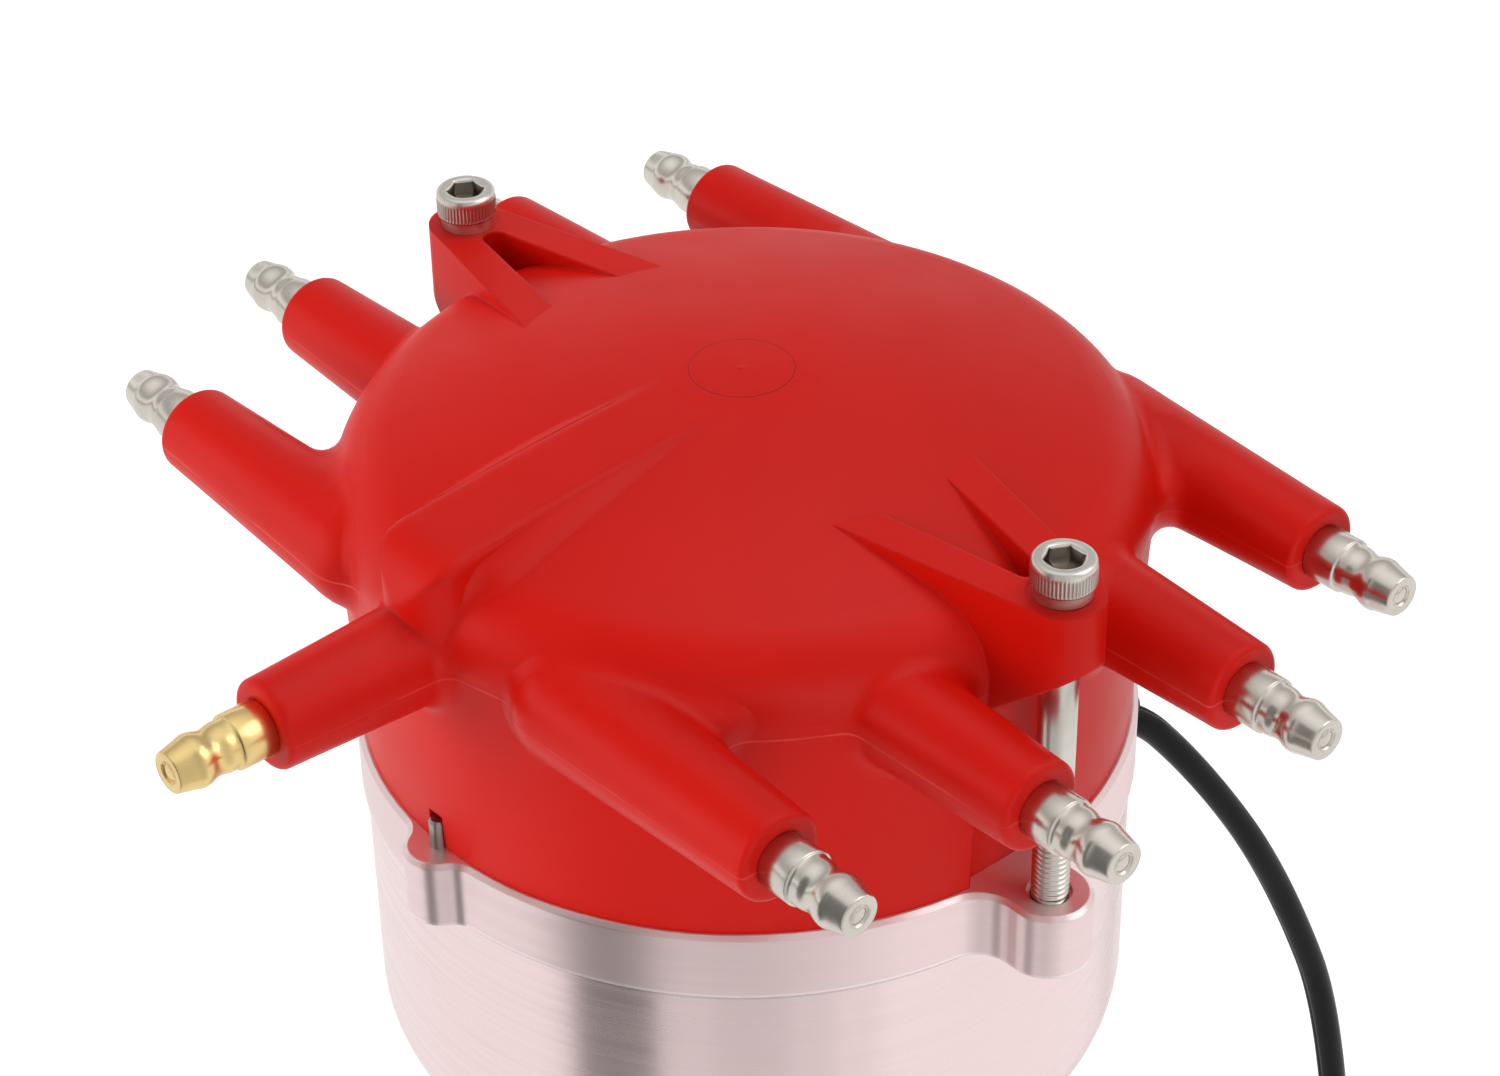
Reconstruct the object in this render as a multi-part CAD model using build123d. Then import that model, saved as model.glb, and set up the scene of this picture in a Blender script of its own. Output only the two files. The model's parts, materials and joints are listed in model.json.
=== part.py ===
from build123d import *
from math import asin, atan2, cos, degrees, pi, radians, sin, sqrt, tan
import os

os.makedirs("parts", exist_ok=True)

# ---------------------------------------------------------------- driving sizes
# Z is the shaft axis. Z = 0 is the seat of the clamp collar on the engine.
# +X is one bank of plug towers, -Y is the coil tower.
FLANGE_Z = 82.0          # top face of the cap flange
SKIRT_R = 50.3           # cap's skirt at the flange; the next sizes follow it
RING_R = SKIRT_R + 0.9   # cap flange ring
RING_T = 9.5
RING_EDGE = 0.6
BOWL_R = SKIRT_R + 0.3
BOWL_DEPTH = 52.6
BOWL_CORNER = 10.2
BOWL_WALL = 4.0
FLOOR_T = 6.6
SCREW_X = SKIRT_R + 6.2  # cap screws, from the axis
EAR_R = 5.5
EAR_BLEND = 5.0
PIN_EAR_R = 4.6
NECK_R = 19.5
NECK_BLEND = 6.0
COLLAR_R = 27.0
COLLAR_T = 9.0
PILOT_R = 15.6           # lower housing, fits the engine bore
PILOT_END = 28.0
WAIST_R = 13.4
WAIST_END = 64.0
HOUSING_END = 86.0
O_RING_WIRE = 1.9
O_RING_PROUD = 0.2       # O-ring beyond the pilot, squeezed in use

SHAFT_R = 6.0
SHAFT_END = 126.0        # below the seat
TANG_SLOT_W = 3.2
TANG_SLOT_DEPTH = 6.0
RUNNING = 0.05           # radial clearance of a turning fit
SLIDING = 0.3            # clearance between moving faces
BEARING_R = 14.0
BEARING_W = 8.0
BUSHING_WALL = 2.0
BUSHING_LEN = 24.0
GEAR_TEETH = 13
GEAR_TIP_R = PILOT_R - 0.3   # the gear passes through the engine bore
GEAR_ROOT_R = GEAR_TIP_R - 3.6
GEAR_LEN = 29.0
GEAR_HELIX = 22.0        # turn of a tooth over the gear's length, degrees
SHIM_T = 0.8

CAP_TOP = 48.55          # dome apex above the flange
DOME_R = 160.0
SHOULDER_R = 10.5
CAP_R = SKIRT_R + 1.5    # at the shoulder
CAP_WALL = 3.6
CAP_BORE_R = SKIRT_R - 3.4
LIP_DEPTH = 2.5
LIP_FIT = 0.25
LIP_T = 2.2
TOWER_Z = 30.5           # tower axes above the flange
TOWER_END_R = 5.75
TOWER_DRAFT = 0.04       # growth of the radius toward the root
TOWER_RIM = 0.8
OUTER_ROOT_R = 7.4
OUTER_ROOT_X = 21.0
ROOT_START = SKIRT_R - 10.3        # inner and coil towers begin inside the wall
OUTER_Y, OUTER_TIP = 44.1, SKIRT_R + 20.4
INNER_Y, INNER_TIP = 16.5, SKIRT_R + 33.2
COIL_TIP = SKIRT_R + 36.2
TERMINAL_OUT = 13.0      # terminal beyond its tower
TERMINAL_R = 3.55
TERMINAL_LIP = 4.6       # barrel's length to its lip
TERMINAL_SHANK_R = 2.0
TERMINAL_SEAT = 2.5
TERMINAL_SEAT_R = 3.3
TERMINAL_CREST_R = 3.35
TERMINAL_FIT = 0.05
TERMINAL_SHANK = 19.0
ROOT_BLEND = 2.6

BOSS_R = 5.2
BOSS_TOP = 44.8          # screw seat above the flange
PRONG_TOP = 45.5         # boss ribs where they die into the dome
PRONG_X = 27.0
PRONG_OUT, PRONG_IN = 11.9, 6.2
POCKET_X = SCREW_X - 6.1
POCKET_R = 1.7
FLAT_X = SKIRT_R - 1.9   # flat in the skirt behind each screw
FLAT_HALF = 7.0
FLAT_TOP = 27.5
RIDGE_HALF = 6.2         # half width at the top
RIDGE_FOOT = 6.7         # half width at the level of the towers
RIDGE_SHIFT = 0.4        # the ridge sits a little toward +X
RIDGE_END = SKIRT_R + 3.7
RIDGE_NOSE = 6.0         # rounding of the ridge's end, in plan
RIDGE_EDGE = 1.2
RIDGE_TOP_IN, RIDGE_TOP_OUT = 48.35, 45.7
RIDGE_ROUND = 7.0

SCREW_R = 2.4
SCREW_LEN = 57.1
SCREW_CLEAR = 0.25
HEAD_R = 3.96
HEAD_H = 3.7
HEX_AF = 3.97
WASHER_R = 3.55
WASHER_T = 1.45
PIN_R = 1.15
PIN_UP = 4.0
PIN_DOWN = 8.0
NOTCH_H = 5.0

POST_CIRCLE = 37.0       # electrodes
POST_R = 2.8
POST_LOW = 14.0
POST_TOP = 32.0
POST_BOSS_R = 4.9
POST_BOSS_LOW = 22.0
WEB_HALF = 3.6
WEB_LOW = 26.5
STRIP_W, STRIP_T = 3.0, 1.6
BRUSH_R = 2.4
BRUSH_LOW = 27.4
BRUSH_LEN = 11.0
BRUSH_SPRING_LEN = 3.6

RELUCTOR_Z = -23.0       # from the flange, like every height below
RELUCTOR_H = 10.0
RELUCTOR_R = 24.0
RELUCTOR_ROOT_R = 19.4
POLE_COUNT = 8
POLE_GAP = 0.8
SLEEVE_R = 9.0
PLATE_Z = -10.0
PLATE_T = 3.0
PLATE_R = 33.0
WEIGHT_T = 5.6
WEIGHT_PIVOT = 23.0
WEIGHT_PIN_R = 2.5
CAM_LONG, CAM_SHORT = 9.0, 7.4
STANDOFF_AT = 26.0
STANDOFF_ANGLE = 150.0
STANDOFF_R = 3.6
ROTOR_Z = 6.0
ROTOR_R = 30.0
ROTOR_T = 3.4
ROTOR_ARM_TOP = 20.0
ROTOR_AIM = 22.5         # the rotor points at one electrode at rest
BLADE_TIP = 33.3
BLADE_T = 1.2
ROTOR_SCREW_R = 1.6

CABLE_D = 4.2
CABLE_ANGLE = 72.0       # direction in which the lead leaves the bowl
CABLE_Z = -20.0
CABLE_START = BOWL_R - 10.6
CABLE_ROUTE = [(BOWL_R + 4.7, -20.0), (BOWL_R + 19.0, -37.5), (BOWL_R + 33.5, -62.0), (BOWL_R + 47.7, -100.0),
               (BOWL_R + 52.4, -152.0)]
GROMMET_R = 4.2
GROMMET_FLANGE_R = 6.0
GROMMET_TAIL = 6.0       # tail that follows the lead's first bend
PLUG_LEN = 22.0
PLUG_W, PLUG_D = 13.0, 8.0

PICKUP_IN = RELUCTOR_R + 3.5
BRACKET_SCREW_X = CABLE_START - 4.0
BRACKET_Z = -29.0
SPRING_POST = 1.3
SPRING_LEN = 15.5        # between the posts
WEIGHT_POST_R = 23.0
WEIGHT_POST_ANGLE = 92.0
BRACKET_T = 1.6
BRACKET_SCREW_Y = 11.5
PICKUP_LOW = BRACKET_Z + BRACKET_T
PICKUP_HALF = 8.2
CORE_MID = RELUCTOR_Z + RELUCTOR_H / 2


# --------------------------------------------------------------------- helpers
def at(z):
    """Height above the cap flange, in the part's own frame."""
    return FLANGE_Z + z


def tube(r_out, r_in, z0, z1):
    return cyl(r_out, z0, z1) - cyl(r_in, z0 - 1, z1 + 1)


def cyl(r, z0, z1, x=0.0, y=0.0):
    return Pos(x, y, (z0 + z1) / 2) * Cylinder(r, z1 - z0)


def block(x0, x1, y0, y1, z0, z1):
    return Pos((x0 + x1) / 2, (y0 + y1) / 2, (z0 + z1) / 2) * Box(x1 - x0, y1 - y0, z1 - z0)


def turned(points):
    """Solid of revolution from (r, z) corners."""
    outline = make_face(Polyline(*[(r, 0, z) for r, z in points], close=True))
    return revolve(outline, Axis.Z)


def along_x(solid, x, y, z, angle=0.0):
    """Lays a solid made along +Z down so that it points from (x, y) at an angle."""
    return Pos(x, y, z) * Rot(0, 0, angle) * Rot(0, 90, 0) * solid


def polar(r, angle):
    return r * cos(radians(angle)), r * sin(radians(angle))


def save(shape, name):
    export_step(shape, f"parts/{name}.step")
    print(name, round(shape.volume / 1000, 2), "cm3", len(shape.solids()), "solid(s)")


# ------------------------------------------------------------------- the towers
# (axis point at the tower's end face, direction of the tower)
def tower_places():
    places = []
    for side in (1, -1):
        for y in (-OUTER_Y, -INNER_Y, INNER_Y, OUTER_Y):
            tip = OUTER_TIP if abs(y) == OUTER_Y else INNER_TIP
            angle = 0 if side > 0 else 180
            places.append((side * (tip - TERMINAL_OUT), y, angle))
    return places


COIL_PLACE = (0.0, -(COIL_TIP - TERMINAL_OUT), -90)


def tower(place):
    """Drafted tower with a rounded rim. An outer one ends in a ball that swells out of the shoulder."""
    x, y, angle = place
    outer = abs(y) == OUTER_Y
    reach = max(abs(x), abs(y)) if not outer else abs(x)
    length = reach - (OUTER_ROOT_X if outer else ROOT_START)
    root_r = OUTER_ROOT_R if outer else TOWER_END_R + TOWER_DRAFT * length
    body = Pos(0, 0, -length / 2) * Rot(180, 0, 0) * Cone(TOWER_END_R, root_r, length)
    rim = body.edges().filter_by(GeomType.CIRCLE).sort_by(Axis.Z)[-1]
    body = fillet(rim, TOWER_RIM)
    if outer:
        body += Pos(0, 0, -length) * Sphere(root_r)
    return along_x(body, x, y, at(TOWER_Z), angle)


def terminal_profile():
    """Male terminal, pointing up +Z, tower face at Z = 0."""
    r = TERMINAL_R
    with BuildSketch(Plane.XZ) as s:
        with BuildLine():
            Polyline((0, -TERMINAL_SHANK), (TERMINAL_SHANK_R, -TERMINAL_SHANK),
                     (TERMINAL_SHANK_R, -TERMINAL_SEAT), (TERMINAL_SEAT_R, -TERMINAL_SEAT),
                     (TERMINAL_SEAT_R, TERMINAL_FIT), (r, TERMINAL_FIT), (r, TERMINAL_LIP),
                     (r - 0.25, TERMINAL_LIP + 0.35), (r - 0.25, 6.0))
            ThreePointArc((r - 0.25, 6.0), (r - 0.6, 7.6), (TERMINAL_CREST_R, 9.2))
            Polyline((TERMINAL_CREST_R, 9.2), (TERMINAL_CREST_R, 9.7), (r - 1.05, TERMINAL_OUT),
                     (1.1, TERMINAL_OUT), (0.7, TERMINAL_OUT - 0.45), (0, TERMINAL_OUT - 0.5),
                     (0, -TERMINAL_SHANK))
        make_face()
    return revolve(s.sketch, Axis.Z)


def tower_bore():
    """Hole for a terminal: shank hole and counterbore."""
    bore = Pos(0, 0, -TERMINAL_SHANK / 2) * Cylinder(TERMINAL_SHANK_R, TERMINAL_SHANK)
    seat = Pos(0, 0, -TERMINAL_SEAT / 2 + 1) * Cylinder(TERMINAL_SEAT_R + TERMINAL_FIT, TERMINAL_SEAT + 2)
    return bore + seat


# ---------------------------------------------------------------------- the cap
def cap_outline(top, dome_r, shoulder_r, rim_r, foot_r, foot_z):
    """Half section: shallow dome, round shoulder, drafted skirt. Returns face and shoulder height."""
    reach = sqrt((dome_r - shoulder_r) ** 2 - (rim_r - shoulder_r) ** 2)
    shoulder_z = top - dome_r + reach
    lean = atan2(rim_r - shoulder_r, reach)
    join = (dome_r * sin(lean), top - dome_r + dome_r * cos(lean))
    mid = (dome_r * sin(lean / 2), top - dome_r + dome_r * cos(lean / 2))
    half = (lean + pi / 2) / 2
    bulge = (rim_r - shoulder_r + shoulder_r * sin(half), shoulder_z + shoulder_r * cos(half))
    with BuildSketch(Plane.XZ) as s:
        with BuildLine():
            ThreePointArc((0, at(top)), (mid[0], at(mid[1])), (join[0], at(join[1])))
            ThreePointArc((join[0], at(join[1])), (bulge[0], at(bulge[1])), (rim_r, at(shoulder_z)))
            Polyline((rim_r, at(shoulder_z)), (foot_r, at(foot_z)), (0, at(foot_z)), (0, at(top)))
        make_face()
    return s.sketch


def dome_height(r):
    return CAP_TOP - DOME_R + sqrt(DOME_R ** 2 - r ** 2)


def ridge():
    """Housing of the coil conductor: leaves the dome near its middle and falls to the coil tower."""
    end_z = RIDGE_TOP_OUT - RIDGE_ROUND
    slope_end = (-(RIDGE_END - RIDGE_ROUND), at(RIDGE_TOP_OUT))
    with BuildSketch(Plane.YZ) as s:
        with BuildLine():
            middle = (slope_end[0] / 2, at((3 * RIDGE_TOP_IN + RIDGE_TOP_OUT) / 4))
            ThreePointArc((0, at(RIDGE_TOP_IN)), middle, slope_end)
            RadiusArc(slope_end, (-RIDGE_END, at(end_z)), -RIDGE_ROUND)
            Polyline((-RIDGE_END, at(end_z)), (-RIDGE_END, at(TOWER_Z)), (0, at(TOWER_Z)),
                     (0, at(RIDGE_TOP_IN)))
        make_face()
    body = extrude(s.sketch, RIDGE_FOOT, both=True)
    lean = degrees(atan2(RIDGE_FOOT - RIDGE_HALF, RIDGE_TOP_IN - TOWER_Z))
    for side in (1, -1):
        flank = Pos(side * RIDGE_FOOT, 0, at(TOWER_Z)) * Rot(0, -side * lean, 0)
        body -= flank * Pos(side * RIDGE_END, 0, 0) * Box(2 * RIDGE_END, 3 * RIDGE_END, 2 * RIDGE_END)
    top = [e for e in body.edges() if e.center().Z > at(end_z) + 0.5 and abs(e.center().X) > 1]
    body = fillet(top, RIDGE_EDGE)
    nose = fillet(Rectangle(2 * RIDGE_FOOT, 2 * RIDGE_END).vertices(), RIDGE_NOSE)
    body &= Pos(0, 0, at(0)) * extrude(nose, CAP_TOP)
    return Pos(RIDGE_SHIFT, 0, 0) * body


def screw_boss(side):
    """Screw boss with its two ribs running up onto the dome."""
    nose = Pos(SCREW_X, 0) * Circle(BOSS_R)
    run = SCREW_X - PRONG_X
    web = make_face(Polyline((PRONG_X, PRONG_OUT), (SCREW_X + 1.2, BOSS_R - 0.15),
                             (SCREW_X + 1.2, -BOSS_R + 0.15), (PRONG_X, -PRONG_OUT), close=True))
    pocket = make_face(Polyline((PRONG_X - 1, PRONG_IN + 0.2), (POCKET_X, POCKET_R),
                                (POCKET_X, -POCKET_R), (PRONG_X - 1, -PRONG_IN - 0.2), close=True))
    plan = nose + web - pocket - Pos(POCKET_X, 0) * Circle(POCKET_R)
    body = Pos(0, 0, at(20)) * extrude(plan, 30)
    tilt = degrees(atan2(PRONG_TOP - BOSS_TOP, run))
    body -= Pos(SCREW_X, 0, at(BOSS_TOP)) * Rot(0, tilt, 0) * Pos(-10, 0, 10) * Box(2 * SCREW_X, 60, 20)
    body -= Pos(SCREW_X - 0.5, 0, at(31.7)) * Rot(0, -39, 0) * Pos(0, 0, -20) * Box(80, 40, 40)
    return Rot(0, 0, 0 if side > 0 else 180) * body


def electrode_angles():
    return [22.5 + 45 * k for k in range(8)]


def post_point(angle):
    return polar(POST_CIRCLE, angle)


def tower_for(angle):
    """The tower whose terminal serves the electrode at this angle."""
    px, py = post_point(angle)
    side = 1 if px > 0 else -1
    y = (OUTER_Y if abs(py) > abs(px) else INNER_Y) * (1 if py > 0 else -1)
    tip = OUTER_TIP if abs(y) == OUTER_Y else INNER_TIP
    return side * (tip - TERMINAL_OUT - TERMINAL_SHANK), y


def beam(start, end, half, z0, z1):
    (x0, y0), (x1, y1) = start, end
    length = sqrt((x1 - x0) ** 2 + (y1 - y0) ** 2)
    angle = degrees(atan2(y1 - y0, x1 - x0))
    return Pos(x0, y0, 0) * Rot(0, 0, angle) * block(0, length, -half, half, z0, z1)


def build_cap():
    body = revolve(cap_outline(CAP_TOP, DOME_R, SHOULDER_R, CAP_R, SKIRT_R, 0), Axis.Z)
    shell = body
    for place in tower_places() + [COIL_PLACE]:
        body += tower(place)
    seams = body.edges().filter_by(lambda e: e.geom_type not in (GeomType.CIRCLE, GeomType.LINE))
    body = fillet(seams, ROOT_BLEND)
    body += ridge()
    for side in (1, -1):
        body += screw_boss(side)
        body -= Rot(0, 0, 0 if side > 0 else 180) * block(
            FLAT_X, FLAT_X + 4.5, -FLAT_HALF, FLAT_HALF, at(-1), at(FLAT_TOP))
    cavity = revolve(cap_outline(CAP_TOP - CAP_WALL, DOME_R - CAP_WALL, SHOULDER_R - CAP_WALL,
                                 CAP_BORE_R, CAP_BORE_R, -1), Axis.Z)
    inside = cyl(CAP_BORE_R, at(0), at(60))
    body -= cavity
    posts = []
    for angle in electrode_angles():
        x, y = post_point(angle)
        posts.append(cyl(POST_BOSS_R, at(POST_BOSS_LOW), at(44), x, y))
        posts.append(beam((x, y), tower_for(angle), WEB_HALF, at(WEB_LOW), at(43)))
    posts.append(cyl(6.5, at(BRUSH_LOW + 3.0), at(46)))
    posts.append(block(-WEB_HALF, WEB_HALF, -47.5, 0, at(37.5), at(46)))
    inner = posts[0]
    for piece in posts[1:]:
        inner += piece
    body += inner & shell & inside
    lip_r = BOWL_R - BOWL_WALL - LIP_FIT
    body += tube(CAP_BORE_R + 0.6, lip_r - LIP_T, at(0), at(LIP_DEPTH))
    body += tube(lip_r, lip_r - LIP_T, at(-LIP_DEPTH), at(1))
    body -= bores()
    return body


def bores():
    """Every hole in the moulding: terminals, electrodes, strips, brush and screws."""
    cuts = []
    for x, y, angle in tower_places() + [COIL_PLACE]:
        cuts.append(along_x(tower_bore(), x, y, at(TOWER_Z), angle))
    cuts += electrode_posts() + conductor_strips()
    cuts.append(coil_conductor())
    cuts.append(cyl(BRUSH_R + RUNNING, at(BRUSH_LOW - 2), at(CONDUCTOR_Z)))
    for side in (1, -1):
        cuts.append(cyl(SCREW_R + SCREW_CLEAR, at(-5), at(60), side * SCREW_X))
        cuts.append(cyl(4.3, at(BOSS_TOP), at(60), side * SCREW_X))
    notch = cyl(PIN_R + 0.15, at(-1), at(NOTCH_H), 0, -SKIRT_R)
    notch += block(-PIN_R - 0.15, PIN_R + 0.15, -SKIRT_R - 3, -SKIRT_R, at(-1), at(NOTCH_H))
    cuts.append(notch)
    return cuts


def electrode_posts():
    posts = []
    for angle in electrode_angles():
        x, y = post_point(angle)
        posts.append(cyl(POST_R, at(POST_LOW), at(TOWER_Z), x, y))
    return posts


def conductor_strips():
    """Flat bars from the top of each electrode to its terminal's shank."""
    strips = []
    for angle in electrode_angles():
        start, end = post_point(angle), tower_for(angle)
        x, y, _ = min(tower_places(), key=lambda place: abs(place[1] - end[1]) + abs(place[0] - end[0]))
        strip = beam(start, end, STRIP_W / 2, at(TOWER_Z), at(TOWER_Z + STRIP_T))
        shank = Pos(x, y, at(TOWER_Z)) * Rot(0, 90, 0) * Cylinder(TERMINAL_SHANK_R, 2 * TERMINAL_SHANK)
        strips.append(strip - shank)
    return strips


CONDUCTOR_Z = BRUSH_LOW + BRUSH_LEN + BRUSH_SPRING_LEN


def coil_conductor():
    """Strip from the brush, out along the ridge and down to the coil terminal."""
    reach = COIL_TIP - TERMINAL_OUT - TERMINAL_SHANK
    bar = block(-STRIP_W / 2, STRIP_W / 2, -48.5, 2.4, at(CONDUCTOR_Z), at(CONDUCTOR_Z + 1.2))
    drop = block(-STRIP_W / 2, STRIP_W / 2, -48.5, -47.3, at(TOWER_Z - 1.5), at(CONDUCTOR_Z + 1.2))
    foot = block(-STRIP_W / 2, STRIP_W / 2, -reach, -47.3, at(TOWER_Z - 1.5), at(TOWER_Z + 1.5))
    return bar + drop + foot



# -------------------------------------------------------------- cap hardware
def hex_socket(depth):
    return Pos(0, 0, -depth / 2 + 0.5) * extrude(RegularPolygon(HEX_AF / 2, 6, major_radius=False),
                                                 depth / 2 + 0.5, both=True)


def cap_screws():
    seat = at(BOSS_TOP + WASHER_T)
    head = fillet(Cylinder(HEAD_R, HEAD_H).edges().sort_by(Axis.Z)[-1], 0.5)
    head = Pos(0, 0, seat + HEAD_H / 2) * head - Pos(0, 0, seat + HEAD_H) * hex_socket(2.2)
    shank = chamfer(Cylinder(SCREW_R, SCREW_LEN).edges().sort_by(Axis.Z)[0], 0.6)
    screw = head + Pos(0, 0, seat - SCREW_LEN / 2) * shank
    return [Pos(side * SCREW_X, 0, 0) * screw for side in (1, -1)]


def lock_washers():
    """High-collar spring washers, split on the side that faces out."""
    rings = []
    for side in (1, -1):
        ring = tube(WASHER_R, SCREW_R + 0.15, at(BOSS_TOP), at(BOSS_TOP + WASHER_T))
        slit = Pos(WASHER_R - 0.5, 0, at(BOSS_TOP + WASHER_T / 2)) * Rot(35, 0, 0) * Box(2.6, 0.4, 3)
        rings.append(Pos(side * SCREW_X, 0, 0) * Rot(0, 0, -60) * (ring - slit))
    return rings


def locating_pin():
    pin = cyl(PIN_R, at(-PIN_DOWN), at(PIN_UP), 0, -SKIRT_R)
    return chamfer(pin.edges().sort_by(Axis.Z)[-1], 0.3)


# --------------------------------------------------------------- the housing
def flange_plan():
    """Cap flange in plan: a ring with two screw ears and one small pin ear."""
    plan = Circle(RING_R)
    for side in (1, -1):
        plan += Pos(side * SCREW_X, 0) * Circle(EAR_R)
        plan += Pos(side * SCREW_X / 2, 0) * Rectangle(SCREW_X, 2 * EAR_R)
    plan += Pos(0, -SKIRT_R) * Circle(PIN_EAR_R)
    corners = [v for v in plan.vertices() if abs(Vector(v.X, v.Y, 0).length - RING_R) < 0.01]
    screw_corners = [v for v in corners if abs(v.X) > 40]
    pin_corners = [v for v in corners if v.Y < -40]
    plan = fillet(screw_corners, EAR_BLEND)
    pin_corners = [v for v in plan.vertices() if v.Y < -40
                   and abs(Vector(v.X, v.Y, 0).length - RING_R) < 0.01]
    return fillet(pin_corners, EAR_BLEND - 1.5)


def bowl_outline():
    """Half section of the machined body below the cap flange, outside."""
    bottom = at(-BOWL_DEPTH)
    start = at(-BOWL_DEPTH + BOWL_CORNER)
    with BuildSketch(Plane.XZ) as s:
        with BuildLine():
            Polyline((0, at(-RING_T)), (BOWL_R, at(-RING_T)), (BOWL_R, start))
            RadiusArc((BOWL_R, start), (BOWL_R - BOWL_CORNER, bottom), BOWL_CORNER)
            Polyline((BOWL_R - BOWL_CORNER, bottom), (NECK_R + NECK_BLEND, bottom))
            RadiusArc((NECK_R + NECK_BLEND, bottom), (NECK_R, bottom - NECK_BLEND), -NECK_BLEND)
            Polyline((NECK_R, bottom - NECK_BLEND), (NECK_R, COLLAR_T), (COLLAR_R - 1, COLLAR_T),
                     (COLLAR_R, COLLAR_T - 1), (COLLAR_R, 1), (COLLAR_R - 1, 0), (PILOT_R, 0),
                     (PILOT_R, -PILOT_END), (WAIST_R, -PILOT_END - 2.5), (WAIST_R, -WAIST_END),
                     (PILOT_R, -WAIST_END - 2.5), (PILOT_R, -HOUSING_END + 1),
                     (PILOT_R - 1, -HOUSING_END), (0, -HOUSING_END), (0, at(-RING_T)))
        make_face()
    return s.sketch


def groove(z):
    """Groove for one O-ring, centred on z."""
    return tube(PILOT_R + 2, PILOT_R + O_RING_PROUD - O_RING_WIRE, z - 1.25, z + 1.25)


O_RING_HEIGHTS = (-9.0, -19.0, -77.0)
FLOOR_Z = -BOWL_DEPTH + FLOOR_T
SEAT_TOP = FLOOR_Z + BEARING_W
BOWL_BORE = BOWL_R - BOWL_WALL


def housing():
    flange = Pos(0, 0, at(-RING_T)) * extrude(flange_plan(), RING_T)
    rim = [e for e in flange.edges() if abs(e.center().Z - at(0)) < 0.01]
    flange = chamfer(rim, RING_EDGE)
    body = flange + revolve(bowl_outline(), Axis.Z)
    cavity = cyl(BOWL_BORE, at(FLOOR_Z), at(2))
    cavity = fillet(cavity.edges().sort_by(Axis.Z)[0], 5.0)
    body -= cavity - cyl(BEARING_R + 5, at(FLOOR_Z - 1), at(SEAT_TOP))
    body -= cyl(BEARING_R, at(FLOOR_Z), at(SEAT_TOP + 1))
    body -= cyl(SHAFT_R + 1.6, -HOUSING_END - 1, at(0))
    body -= cyl(SHAFT_R + BUSHING_WALL, -HOUSING_END - 1, -HOUSING_END + BUSHING_LEN)
    for z in O_RING_HEIGHTS:
        body -= groove(z)
    for side in (1, -1):
        body -= cyl(SCREW_R, at(-RING_T - 1), at(1), side * SCREW_X)
        body -= cyl(SCREW_R + 0.4, at(-0.5), at(1), side * SCREW_X)
    body -= cyl(PIN_R, at(-PIN_DOWN), at(1), 0, -SKIRT_R)
    pedestal = lead(block(PICKUP_IN, CABLE_START, -15, 15, at(FLOOR_Z - 1), at(BRACKET_Z)))
    body += pedestal & cyl(BOWL_BORE + 1, at(FLOOR_Z - 1), at(BRACKET_Z))
    for side in (1, -1):
        body -= lead(cyl(1.5, at(BRACKET_Z - 9), at(BRACKET_Z + 1), BRACKET_SCREW_X, side * BRACKET_SCREW_Y))
    body -= lead(along_x(Cylinder(GROMMET_R, 20), BOWL_R, 0, at(CABLE_Z)))
    return body


def lead(shape):
    """Turns a shape drawn on +X to where the pickup and its lead sit."""
    return Rot(0, 0, CABLE_ANGLE) * shape


def o_rings():
    return [Pos(0, 0, z) * Torus(PILOT_R + O_RING_PROUD - O_RING_WIRE / 2, O_RING_WIRE / 2)
            for z in O_RING_HEIGHTS]


# --------------------------------------------------------- shaft and its drive
def upper_bearing():
    """Sealed ball bearing: two rings and the seal between them."""
    z0, z1 = at(FLOOR_Z), at(SEAT_TOP)
    ring = tube(BEARING_R, SHAFT_R + RUNNING, z0, z1)
    seal_gap = tube(BEARING_R - 2.2, SHAFT_R + 2.2, z1 - 0.4, z1 + 1)
    return ring - seal_gap - tube(BEARING_R - 2.2, SHAFT_R + 2.2, z0 - 1, z0 + 0.4)


def lower_bushing():
    return tube(SHAFT_R + BUSHING_WALL, SHAFT_R + RUNNING, -HOUSING_END, -HOUSING_END + BUSHING_LEN)


def shims():
    top = tube(9.5, SHAFT_R + 0.2, at(SEAT_TOP), at(SEAT_TOP) + SHIM_T)
    low = tube(11.0, SHAFT_R + 0.2, -HOUSING_END - 2 * SHIM_T, -HOUSING_END)
    return [top, low]


GEAR_TOP = -HOUSING_END - 2 * SHIM_T - SLIDING / 2
CAM_Z = PLATE_Z + PLATE_T + SLIDING
CAM_TOP = CAM_Z + WEIGHT_T
SPRING_Z = CAM_TOP + 2.3
SPRING_POST_TOP = SPRING_Z + 1.1


def main_shaft():
    shaft = cyl(SHAFT_R, -SHAFT_END, at(CAM_Z))
    shaft = chamfer(shaft.edges().sort_by(Axis.Z)[0], 0.8)
    spigot = cyl(SHAFT_R - 1.5, at(CAM_Z - 1), at(CAM_TOP - 1))
    flats = block(SHAFT_R - 2.2, 9, -9, 9, at(CAM_Z), at(CAM_TOP))
    shaft += spigot - flats
    slot = block(-9, 9, -TANG_SLOT_W / 2, TANG_SLOT_W / 2, -SHAFT_END - 1, -SHAFT_END + TANG_SLOT_DEPTH)
    shaft -= slot
    shaft -= cyl(1.2, at(CAM_TOP - 9), at(CAM_TOP))
    return shaft - gear_pin_bore(GEAR_PIN_R)


GEAR_PIN_R = 1.6
GEAR_HUB_R = GEAR_ROOT_R - 1.4
GEAR_HUB_LEN = 8.0


def gear_pin_bore(r):
    return Pos(0, 0, GEAR_TOP - GEAR_LEN - GEAR_HUB_LEN / 2) * Rot(90, 0, 0) * Cylinder(r, 60)


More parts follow.
